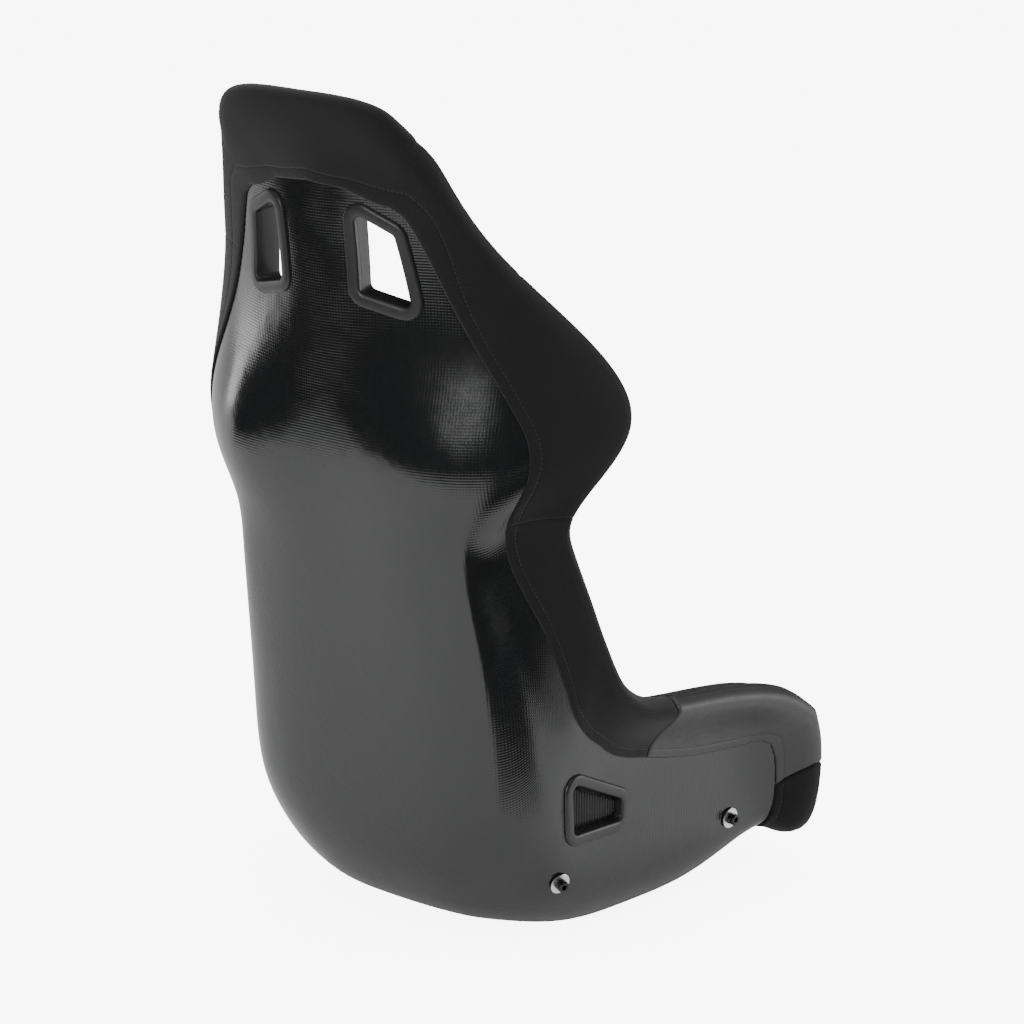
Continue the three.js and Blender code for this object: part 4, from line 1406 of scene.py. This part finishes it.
@dataclass
class Cushion:
    """A pad lying on the inside of the shell.

    Attributes:
        name: Name of the piece.
        node: Frame node it stands for.
        columns: First and last u.
        rows: First and last v.
        lift: Clearance under it, mm.
        height: Height in the middle, mm.
        edge: Share of the height along the borders.
        body: Moving group.
        swell: How far the simulation may move a point, mm; 0 for none.
        channels: Places (axis 0 across or 1 along, from -1 to 1) of the sewn channels.
        fill: Tightness of the stuffing; not used.
        cells: Cells across and along.
    """

    name: str
    node: str
    columns: Pair
    rows: Pair
    lift: float
    height: float
    edge: float
    body: Body = Body.SHELL
    swell: float = 0.0
    channels: Sequence[tuple[int, float]] = ()
    fill: float = 0.7
    cells: tuple[int, int] = (72, 72)
    border: float = 0.16

    def grid(self, shrink: float = 0.0) -> tuple[np.ndarray, np.ndarray]:
        """Visible and contact grids.

        Args:
            shrink: Height taken off for the simulation's swelling, mm.

        Returns:
            The two grids.
        """
        p, q = np.meshgrid(np.linspace(-1, 1, self.cells[0] + 1), np.linspace(-1, 1, self.cells[1] + 1))
        corner = 0.035
        bow_p = p * (1 - corner * q**4 - corner * 0.4 * (1 - q**2))
        bow_q = q * (1 - corner * p**4 - corner * 0.4 * (1 - p**2))
        u = np.mean(self.columns) + bow_p * (self.columns[1] - self.columns[0]) / 2
        v = np.mean(self.rows) + bow_q * (self.rows[1] - self.rows[0]) / 2
        crown = self.edge + (1 - self.edge) * (1 - p**4) * (1 - q**4)
        skirt = rounded((1 - np.abs(p)) / self.border) * rounded((1 - np.abs(q)) / self.border)
        height = (self.height - shrink) * crown * (0.3 + 0.7 * skirt)
        if not self.swell:
            height = height - self.pressed(p, q)
        base = FORM.thickness + self.lift
        top = FORM.lifted(u, v, -(base + height))
        return top, FORM.lifted(u, v, np.full(u.shape, -(base + 0.2)))

    def pressed(self, p: np.ndarray, q: np.ndarray) -> np.ndarray:
        """How far the sewn channels press the fabric down, mm."""
        total = np.zeros(np.shape(p))
        spans = [self.width() / 2, self.length() / 2]
        for axis, place in self.channels:
            distance = ((p, q)[axis] - place) * spans[axis]
            inside = ease((1 - np.abs((q, p)[axis])) * 8)
            total += 3.2 * groove(distance, 3.2) * inside
        return total

    def width(self) -> float:
        """Width of the pad, mm."""
        middle = np.full(2, np.mean(self.rows))
        return float(np.linalg.norm(np.diff(FORM.skin(np.array(self.columns), middle), axis=0))) / MM

    def length(self) -> float:
        """Length of the pad along the middle, mm."""
        v = np.linspace(*self.rows, 40)
        return float(np.linalg.norm(np.diff(FORM.skin(np.zeros(40), v), axis=0), axis=-1).sum()) / MM

    def shaped(self, finish: bpy.types.Material) -> bpy.types.Object:
        """The pad's mesh, blown up by the cloth simulation where it has one.

        Args:
            finish: Its material.

        Returns:
            The object.
        """
        shrink = self.swell * 0.5
        top, base = self.grid(shrink)
        u_run = np.broadcast_to(np.linspace(0, self.width() * MM, top.shape[1])[None, :], top.shape[:2])
        v_run = np.broadcast_to(np.linspace(0, self.length() * MM, top.shape[0])[:, None], top.shape[:2])
        surface = closed_sheet(top, base, np.stack([u_run, v_run], -1))
        if not self.swell:
            return make_object(self.name, surface, [finish], 70)
        piece = make_object(self.name, surface, [finish], 70)
        self.inflate(piece)
        self.sew(piece)
        return piece

    def inflate(self, piece: bpy.types.Object) -> None:
        """Fills the pad: a short cloth simulation under pressure, with a limit on the movement.

        Args:
            piece: The pad's object; its mesh is replaced.
        """
        remesh = piece.modifiers.new("remesh", "REMESH")
        remesh.mode = "VOXEL"
        remesh.voxel_size = 0.005
        self.bake(piece)
        before = np.array([v.co for v in piece.data.vertices])
        cloth = piece.modifiers.new("cloth", "CLOTH")
        cloth.settings.quality = 5
        cloth.settings.use_pressure = True
        cloth.settings.uniform_pressure_force = 4.0
        cloth.settings.tension_stiffness = 12
        cloth.settings.compression_stiffness = 12
        cloth.settings.bending_stiffness = 1.5
        cloth.settings.effector_weights.gravity = 0.0
        scene = bpy.context.scene
        for frame in range(1, 21):
            scene.frame_set(frame)
        self.bake(piece)
        scene.frame_set(1)
        after = np.array([v.co for v in piece.data.vertices])
        move = after - before
        size = np.linalg.norm(move, axis=1, keepdims=True)
        limit = self.swell * MM
        capped = move * (limit * np.tanh(size / limit) / np.maximum(size, 1e-9))
        depth = self.under(before)
        capped *= ease((depth - 1.0) / 5.0)[:, None]
        piece.data.vertices.foreach_set("co", (before + capped).astype(np.float32).ravel())
        piece.data.update()

    def under(self, points: np.ndarray) -> np.ndarray:
        """Height of points over the pad's contact face, mm, found from the nearest skin point."""
        u, v = np.meshgrid(np.linspace(*self.columns, 40), np.linspace(*self.rows, 60))
        u, v = u.ravel(), v.ravel()
        base = FORM.lifted(u, v, np.full(len(u), -(FORM.thickness + self.lift)))
        normal = FORM.normal(u, v)
        nearest = np.array([np.argmin(((base - point) ** 2).sum(-1)) for point in points])
        return ((base[nearest] - points) * normal[nearest]).sum(-1) / MM

    def sew(self, piece: bpy.types.Object) -> None:
        """Presses the sewn channels in, then smooths the mesh once.

        Args:
            piece: The pad's object.
        """
        points = np.array([v.co for v in piece.data.vertices])
        u, v = np.meshgrid(np.linspace(*self.columns, 60), np.linspace(*self.rows, 90))
        u, v = u.ravel(), v.ravel()
        skin = FORM.lifted(u, v, np.full(len(u), -(FORM.thickness + self.lift + self.height * 0.7)))
        normal = FORM.normal(u, v)
        nearest = np.array([np.argmin(((skin - point) ** 2).sum(-1)) for point in points])
        p = 2 * (u[nearest] - self.columns[0]) / (self.columns[1] - self.columns[0]) - 1
        q = 2 * (v[nearest] - self.rows[0]) / (self.rows[1] - self.rows[0]) - 1
        offset = ((points - skin[nearest]) * normal[nearest]).sum(-1)
        top = ease((0.35 * self.height * MM - offset) / (0.25 * self.height * MM))
        push = self.pressed(p, q) * MM * top
        moved = points + normal[nearest] * push[:, None]
        piece.data.vertices.foreach_set("co", moved.astype(np.float32).ravel())
        piece.data.update()
        smooth = piece.modifiers.new("smooth", "SUBSURF")
        smooth.levels = smooth.render_levels = 1
        self.bake(piece)
        tidy_normals(piece, 70)

    @staticmethod
    def bake(piece: bpy.types.Object) -> None:
        """Applies the object's modifiers to its mesh."""
        depsgraph = bpy.context.evaluated_depsgraph_get()
        mesh = bpy.data.meshes.new_from_object(piece.evaluated_get(depsgraph), depsgraph=depsgraph)
        piece.modifiers.clear()
        piece.data = mesh
        mesh.shade_smooth()

    def build(self, finish: bpy.types.Material, slot: Slot) -> None:
        """Makes the pad.

        Args:
            finish: Its material.
            slot: Material slot of the record; not used.
        """
        settle(self.shaped(finish), self.body, [self.node])


@dataclass
class Interior:
    """The cushions and pads inside the bucket."""

    on_strips: float = 2.4
    glued: float = 1.2

    def cushions(self) -> list[tuple[Cushion, str, Slot]]:
        """Every cushion with its finish's name and slot."""
        return [
            (
                Cushion(
                    "seat_squab_cushion", "seat_squab", (-2.5, 2.5), (3.5, 6.5), self.on_strips, 46, 0.6,
                    Body.SQUAB, 9.0, [(0, -0.42), (0, 0.42), (1, 0.1)], 0.75,
                ),
                "spacer",
                Slot.SPACER,
            ),
            (
                Cushion(
                    "back_cushion_pad", "back_pad", (-2, 2), (9, 15), self.on_strips, 30, 0.55,
                    Body.BACK, 7.0, [(0, -0.45), (0, 0.45), (1, -0.35), (1, 0.3)], 0.7,
                ),
                "spacer",
                Slot.SPACER,
            ),
            (
                Cushion(
                    "thigh_pad_cushion", "thigh_pad", (-3, 3), (1.2, 2.5), self.glued, 40, 0.7,
                    Body.SHELL, 6.0, [(0, 0.0)], 0.8,
                ),
                "knit",
                Slot.KNIT,
            ),
            (
                Cushion(
                    "head_pad_cushion", "head_pad", (-2, 2), (19.4, 20.5), self.glued + 12.4, 24, 0.6,
                    Body.SHELL, 4.0, [], 0.8,
                ),
                "spacer",
                Slot.SPACER,
            ),
        ]

    def build(self, palette: Palette) -> None:
        """Makes the cushions.

        Args:
            palette: The finishes.
        """
        for cushion, finish, slot in self.cushions():
            cushion.build(getattr(palette, finish), slot)
        self.shoulder_pad(palette)

    def shoulder_pad(self, palette: Palette) -> None:
        """The thin pad behind the shoulders, cut out round the harness slots.

        Args:
            palette: The finishes.
        """
        pad = Cushion(
            "shoulder_pad_cushion", "shoulder_pad", (-3, 3), (15.5, 18.7), self.glued, 16, 0.6,
            Body.SHELL, 0.0, [(0, 0.0)], 0.7, (110, 110), 0.08,
        )
        piece = pad.shaped(palette.knit)
        room = HARNESS.plug(16.0, 4, -60)
        tool = make_object("slot_room", room.joined(room.mirrored()), [])
        modifier = piece.modifiers.new("slots", "BOOLEAN")
        modifier.operation = "DIFFERENCE"
        modifier.solver = "EXACT"
        modifier.object = tool
        Cushion.bake(piece)
        bpy.data.objects.remove(tool)
        tidy_normals(piece, 60)
        settle(piece, Body.SHELL, [pad.node])


# ------------------------------------------------------------------------------ bezels and blanks


FLANK = 204.0  # x of the flat outside of the shell's side, mm


@dataclass
class Bezels:
    """Moulded frames round the strap openings and the ribbed blanks of the side slots.

    Attributes:
        height: Height of a frame over the skin, mm.
        wall: Thickness of a sleeve, mm.
        clearance: Gap to the skin, mm.
        pad_gap: Standoff of the crotch slot's frame from the inner skin, mm.
        pad_depth: Standoff of the front harness frames from the inner skin, mm.
        blank_depth: Depth of a blank's face below the flank, mm.
        blank_thickness: Thickness of a blank, mm.
        rib_pitch: Spacing of a blank's ribs, mm.
        rib_height: Height of a blank's ribs, mm.
        harness_flange: Width of a harness frame's rim, mm.
        lap_flange: Width of a lap-belt frame's rim, mm.
        lap_sleeve: Depth given to a lap-belt frame's sleeve, mm.
        crotch_flange: Width of the crotch frame's rim, mm.
    """

    height: float = 3.6
    wall: float = 2.4
    clearance: float = 0.35
    pad_gap: float = 1.2
    pad_depth: float = 19.0
    blank_depth: float = 8.0
    blank_thickness: float = 2.4
    rib_pitch: float = 4.4
    rib_height: float = 2.2
    harness_flange: float = 14.0
    lap_flange: float = 13.0
    lap_sleeve: float = 12.4
    crotch_flange: float = 11.0

    def outer(self, flange: float, depth: float) -> list[Pair]:
        """Section of a frame on the outer skin with a sleeve down to a depth."""
        h, c = self.height, self.clearance
        return [
            (0.0, h - 2.4), (0.25, h - 1.5), (0.9, h - 0.8), (1.8, h - 0.35), (2.8, h - 0.1), (3.6, h),
            (flange - 3.4, h), (flange - 2.2, h - 0.3), (flange - 1.1, h - 0.9), (flange - 0.35, h - 1.8),
            (flange, h - 2.8), (flange, c), (self.wall, c), (self.wall, -depth), (0.0, -depth),
        ]

    def inner(self, flange: float, top: float, standoff: float) -> list[Pair]:
        """Section of a frame over the inner skin with a sleeve up to a lift."""
        face = -FORM.thickness - standoff
        low = face - self.height
        return [
            (0.0, top), (self.wall, top), (self.wall, face), (flange, face), (flange, low + 2.4),
            (flange - 0.5, low + 1.3), (flange - 1.6, low + 0.4), (flange - 3, low), (3.2, low),
            (1.4, low + 0.4), (0.4, low + 1.3), (0.0, low + 2.4),
        ]

    def pair(self, name: str, surface: Surface, nodes: str, palette: Palette) -> None:
        """Makes a moulded piece on the left and its mirror image on the right.

        Args:
            name: Name of the pieces, without the side.
            surface: The left one.
            nodes: Name of the frame nodes, without the side.
            palette: The finishes.
        """
        for side in Side:
            label = side.name.lower()
            shape = surface if side is Side.LEFT else surface.mirrored()
            piece = make_object(f"{name}_{label}", shape, [palette.moulding], 46)
            settle(piece, Body.SHELL, [f"{nodes}_{label}"])

    def blank(self) -> Surface:
        """Fluted plate that closes a lap strap slot, on the left."""
        depth, back = self.blank_depth, self.blank_depth + self.blank_thickness
        edge = LAP.outline(-1.0)
        ys = np.linspace(edge[:, 0].min(), edge[:, 0].max(), 321)
        flat = np.concatenate([edge, edge[:1]])

        def span(y: float) -> Pair:
            """Lowest and highest z of the outline at y."""
            a, b = flat[:-1], flat[1:]
            hit = (a[:, 0] - y) * (b[:, 0] - y) <= 0
            wide = np.abs(b[hit, 0] - a[hit, 0]) > 1e-9
            a, b = a[hit][wide], b[hit][wide]
            z = a[:, 1] + (b[:, 1] - a[:, 1]) * (y - a[:, 0]) / (b[:, 0] - a[:, 0])
            return (float(z.min()), float(z.max())) if len(z) else (148.0, 148.5)

        front, rear = [], []
        for y in ys[2:-2]:
            low, high = span(float(y))
            z = low + (high - low) * np.linspace(0, 1, 9)
            flute = self.rib_height * abs(math.sin(math.pi * y / self.rib_pitch)) ** 0.7
            soft = rounded(np.minimum(z - low, high - z) / 2.0)
            x = FLANK - depth - self.rib_height + flute * soft
            front.append(np.stack([x, np.full(9, y), z], -1) * MM)
            rear.append(np.stack([np.full(9, FLANK - back), np.full(9, y), z], -1) * MM)
        return closed_sheet(np.array(front), np.array(rear))

    def build(self, palette: Palette) -> None:
        """Makes the frames and blanks.

        Args:
            palette: The finishes.
        """
        rear = HARNESS.framed(self.outer(self.harness_flange, FORM.thickness))
        front = HARNESS.framed(self.inner(self.harness_flange, -FORM.thickness - 0.4, self.pad_depth))
        lap = LAP.framed(self.outer(self.lap_flange, self.lap_sleeve))
        self.pair("harness_frame_rear", rear, "harness_bezel_rear", palette)
        self.pair("harness_frame_front", front, "harness_bezel_front", palette)
        self.pair("side_slot_frame", lap, "side_slot_bezel", palette)
        self.pair("side_slot_panel", self.blank(), "side_slot_blank", palette)
        crotch = CROTCH.framed(self.inner(self.crotch_flange, -0.6, self.pad_gap))
        piece = make_object("crotch_slot_frame", crotch, [palette.moulding], 46)
        settle(piece, Body.SHELL, ["crotch_slot_bezel"])


# ------------------------------------------------------------------------------ mounting hardware


@dataclass
class Hardware:
    """Screws, washers and inserts of the four side mounting points.

    Attributes:
        height: Height of the bolts over the underside, mm.
        places: y of the front and rear bolts and a guess of their place on the skin.
        washer_lift: Height of a washer's underside over the skin, mm.
        washer_thickness: Thickness of a washer, mm.
        washer_radius: Outer radius of a washer, mm.
        head_radius: Radius of a screw's head, mm.
        head_height: Height of a screw's head, mm.
    """

    height: float = 78.0
    places: dict[str, tuple[float, Pair]] = field(
        default_factory=lambda: {"front": (-155.0, (4.5, 2.5)), "rear": (134.0, (4.3, 6.8))}
    )
    washer_lift: float = 1.2
    washer_thickness: float = 1.6
    washer_radius: float = 12.0
    head_radius: float = 6.5
    head_height: float = 8.0

    def axis(self, y: float, guess: Pair) -> np.ndarray:
        """Frame of a bolt: x along its axis outwards, origin on the skin.

        Args:
            y: Place of the bolt, mm.
            guess: Place on the skin near it.

        Returns:
            4x4 matrix in metres.
        """
        u, v = FORM.locate((1, 2), np.array([[y, self.height]]), guess)
        out = FORM.normal(u, v)[0]
        across = unit(np.array([0.0, 1.0, 0.0]) - out * out[1])
        frame = np.eye(4)
        frame[:3, 0], frame[:3, 1], frame[:3, 2] = out, across, np.cross(out, across)
        frame[:3, 3] = FORM.skin(u, v)[0]
        return frame

    def washer(self, frame: np.ndarray) -> Surface:
        """Penny washer with broken edges."""
        low, high, r = self.washer_lift, self.washer_lift + self.washer_thickness, self.washer_radius
        section = [(low, 4.5), (low, r - 0.3), (low + 0.3, r), (high - 0.3, r), (high, r - 0.3), (high, 4.5)]
        return turned([*section, section[0]], frame, 56)

    def screw(self, frame: np.ndarray) -> Surface:
        """Socket head screw: knurled head with a hexagonal socket."""
        seat = self.washer_lift + self.washer_thickness + 0.1
        top, r = seat + self.head_height, self.head_radius
        steps = 60
        profile = [
            (-16.0, 0.0), (-16.0, 3.2), (-15.2, 4.0), (seat, 4.0), (seat, r - 0.3), (seat + 0.3, r),
            (top - 2.2, r), (top - 1.0, r - 0.15), (top - 0.35, r - 0.5), (top, r - 1.1), (top, 4.0),
            (top - 0.5, 3.45), (top - 4.2, 3.4), (top - 4.2, 0.0),
        ]
        surface = turned(profile, frame, steps)
        local = (surface.vertices - frame[:3, 3]) @ frame[:3, :3] / MM
        ring_of = np.arange(len(local)) // steps
        angle = np.arctan2(local[:, 2], local[:, 1])
        radius = np.hypot(local[:, 1], local[:, 2])
        socket = (ring_of == 11) | (ring_of == 12)
        hexagon = 1 / np.cos((angle + math.pi / 6) % (math.pi / 3) - math.pi / 6)
        scale = np.where(socket, hexagon * 3.0 / np.maximum(radius, 1e-6), 1.0)
        knurl = (ring_of >= 5) & (ring_of <= 6) & (np.arange(len(local)) % 2 == 0)
        scale = np.where(knurl, (r - 0.22) / r, scale)
        local[:, 1] *= scale
        local[:, 2] *= scale
        surface.vertices = local * MM @ frame[:3, :3].T + frame[:3, 3]
        return surface

    def build(self, palette: Palette) -> None:
        """Makes the washers and screws; the inserts keep their frame nodes.

        Args:
            palette: The finishes.
        """
        for place, (y, guess) in self.places.items():
            frame = self.axis(y, guess)
            for kind, surface, finish, slot in (
                ("washer", self.washer(frame), palette.zinc, Slot.ZINC),
                ("screw", self.screw(frame), palette.black_steel, Slot.BLACK_STEEL),
            ):
                for side in Side:
                    label = side.name.lower()
                    shape = surface if side is Side.LEFT else surface.mirrored()
                    piece = make_object(f"side_{kind}_{place}_{label}", shape, [finish], 35)
                    settle(piece, Body.SHELL, [f"mount_{kind}_{place}_{label}"])


# ------------------------------------------------------------------------------ studio


@dataclass
class Studio:
    """Floor, lights and camera.

    Attributes:
        azimuth: Camera direction in degrees, 0 looking along +Y.
        elevation: Camera height angle in degrees.
        distance: From the target, m.
        target: Point looked at, m.
        lens: Focal length for a 36 mm sensor, mm.
        floor_glow: Strength of the light of the floor that the camera sees.
    """

    azimuth: float = 221.657
    elevation: float = 15.068
    distance: float = 4.50018
    target: Triple = (-0.00713, -0.00543, 0.43223)
    lens: float = 141.506
    floor_glow: float = 7.0

    @staticmethod
    def direction(azimuth: float, elevation: float) -> Vector:
        """Unit vector from the target towards a place at the given angles."""
        a, e = math.radians(azimuth), math.radians(elevation)
        return Vector((math.sin(a) * math.cos(e), -math.cos(a) * math.cos(e), math.sin(e)))

    def camera(self) -> None:
        """Places the camera."""
        data = bpy.data.cameras.new("camera")
        data.lens = self.lens
        data.sensor_width = 36.0
        data.clip_start = 0.1
        data.clip_end = 200.0
        camera = bpy.data.objects.new("camera", data)
        bpy.context.scene.collection.objects.link(camera)
        back = self.direction(self.azimuth, self.elevation)
        camera.location = Vector(self.target) + back * self.distance
        camera.rotation_euler = (-back).to_track_quat("-Z", "Y").to_euler()
        bpy.context.scene.camera = camera

    def floor(self, name: str, height: float, shade: float, glow: float) -> bpy.types.Object:
        """A wide pale disc to stand on.

        Args:
            name: Name of the disc.
            height: Its height, m.
            shade: Grey of its colour.
            glow: Strength of its own light.

        Returns:
            The disc.
        """
        count = 96
        angles = np.linspace(0, 2 * math.pi, count, endpoint=False)
        rings = [0.3, 1.0, 3.0, 40.0]
        loops = [
            np.stack([r * np.cos(angles), r * np.sin(angles), np.full(count, height)], -1) for r in rings
        ]
        faces: list[tuple[int, ...]] = [tuple(range(count))]
        for a in range(len(rings) - 1):
            for k in range(count):
                n = (k + 1) % count
                faces.append((a * count + k, (a + 1) * count + k, (a + 1) * count + n, a * count + n))
        finish = Shader(name, (shade, shade, shade), 0.9)
        grain = finish.noise(finish.place(False), 3.0, 2.0)
        finish.tint(grain, (shade - 0.01,) * 3, (shade + 0.02,) * 3)
        finish.surface.inputs["Specular IOR Level"].default_value = 0.0
        finish.surface.inputs["Emission Color"].default_value = (1.0, 1.0, 1.0, 1.0)
        finish.surface.inputs["Emission Strength"].default_value = glow
        piece = make_object(name, Surface(np.concatenate(loops), faces), [finish.material])
        return piece

    def softbox(
        self, name: str, azimuth: float, elevation: float, distance: float, size: Pair, power: float
    ) -> None:
        """An area light aimed at the seat.

        Args:
            name: Name of the light.
            azimuth: Its direction in degrees.
            elevation: Its height angle in degrees.
            distance: From the seat's middle, m.
            size: Width and height, m.
            power: Watts.
        """
        data = bpy.data.lights.new(name, "AREA")
        data.shape = "RECTANGLE"
        data.size, data.size_y = size
        data.energy = power
        lamp = bpy.data.objects.new(name, data)
        bpy.context.scene.collection.objects.link(lamp)
        towards = self.direction(azimuth, elevation)
        lamp.location = Vector((0, 0.1, 0.5)) + towards * distance
        lamp.rotation_euler = (-towards).to_track_quat("-Z", "Y").to_euler()

    def flag(self, name: str, azimuths: Pair, radius: float, low: float, high: float) -> None:
        """A black curtain that only shows in reflections.

        Args:
            name: Name of the curtain.
            azimuths: First and last direction, degrees.
            radius: Distance from the seat, m.
            low: Lower edge over the floor, m.
            high: Upper edge, m.
        """
        angles = np.radians(np.linspace(*azimuths, 40))
        foot = np.stack([radius * np.sin(angles), -radius * np.cos(angles), np.full(40, low)], -1)
        head = foot + np.array([0.0, 0.0, high - low])
        back = 1.0 + 0.02 / radius
        inner = np.stack([foot, head], 1)
        outer = inner * np.array([back, back, 1.0])
        finish = Shader(f"{name}_cloth", (0.004, 0.004, 0.004), 1.0)
        finish.surface.inputs["Specular IOR Level"].default_value = 0.0
        piece = make_object(name, closed_sheet(inner, outer), [finish.material])
        piece.visible_camera = False
        piece.visible_diffuse = False
        piece.visible_shadow = False
        piece.visible_transmission = False

    def card(self, azimuths: Pair, radii: Pair) -> None:
        """A black card just over the floor that only shows in reflections.

        Args:
            azimuths: First and last direction, degrees.
            radii: Nearest and farthest distance from the seat's middle, m.
        """
        angles = np.radians(np.linspace(*azimuths, 40))
        near, far = radii
        foot = np.stack([near * np.sin(angles), -near * np.cos(angles), np.full(40, 0.001)], -1)
        reach = np.stack([far * np.sin(angles), -far * np.cos(angles), np.full(40, 0.001)], -1)
        low = np.stack([foot, reach], 1)
        finish = Shader("black_card_cloth", (0.004, 0.004, 0.004), 1.0)
        finish.surface.inputs["Specular IOR Level"].default_value = 0.0
        piece = make_object("black_card", closed_sheet(low, low + np.array([0, 0, 0.001])), [finish.material])
        piece.visible_camera = False
        piece.visible_diffuse = False
        piece.visible_shadow = False
        piece.visible_transmission = False

    def build(self) -> None:
        """Makes the studio."""
        self.camera()
        seen = self.floor("studio_floor", -0.0006, 0.86, self.floor_glow)
        seen.visible_diffuse = seen.visible_glossy = seen.visible_transmission = False
        seen.visible_shadow = False
        lit = self.floor("studio_floor_under", -0.0016, 0.66, 0.0)
        lit.visible_camera = False
        world = bpy.data.worlds.new("studio")
        world.use_nodes = True
        world.node_tree.nodes["Background"].inputs[0].default_value = (1.0, 1.0, 1.0, 1.0)
        world.node_tree.nodes["Background"].inputs[1].default_value = 1.35
        world.cycles_visibility.glossy = False
        bpy.context.scene.world = world
        self.softbox("left_box", 100, 4, 3.2, (0.55, 1.1), 7)
        self.softbox("back_box", 194, 18, 3.6, (0.75, 1.1), 75)
        self.softbox("front_box", 318, 6, 3.4, (1.8, 1.6), 50)
        self.softbox("top_box", 200, 84, 3.4, (2.4, 2.4), 60)
        self.flag("black_curtain", (112, 288), 1.9, 0.0, 1.5)
        self.card((212, 274), (0.72, 1.8))


# ------------------------------------------------------------------------------ assembly


def dress_frame_nodes(nodes: dict[str, bpy.types.Object], palette: Palette) -> None:
    """Gives the frame nodes that stay their finishes.

    Args:
        nodes: The frame's objects by name.
        palette: The finishes.
    """
    for name, node in nodes.items():
        finish = palette.hook if "grip_strip" in name else palette.zinc
        if "grip_strip" in name or "insert" in name:
            node.data.materials.clear()
            node.data.materials.append(finish)
            LOG.info("%s keeps its frame mesh", name)


def main() -> None:
    """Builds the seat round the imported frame."""
    logging.basicConfig(level=logging.INFO, format="%(name)s: %(message)s")
    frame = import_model()
    Studio().build()
    palette = Palette()
    dress_frame_nodes(frame["nodes"], palette)
    Shell().build(palette)
    Upholstery().build(palette)
    Interior().build(palette)
    Bezels().build(palette)
    Hardware().build(palette)


if __name__ == "__main__":
    main()
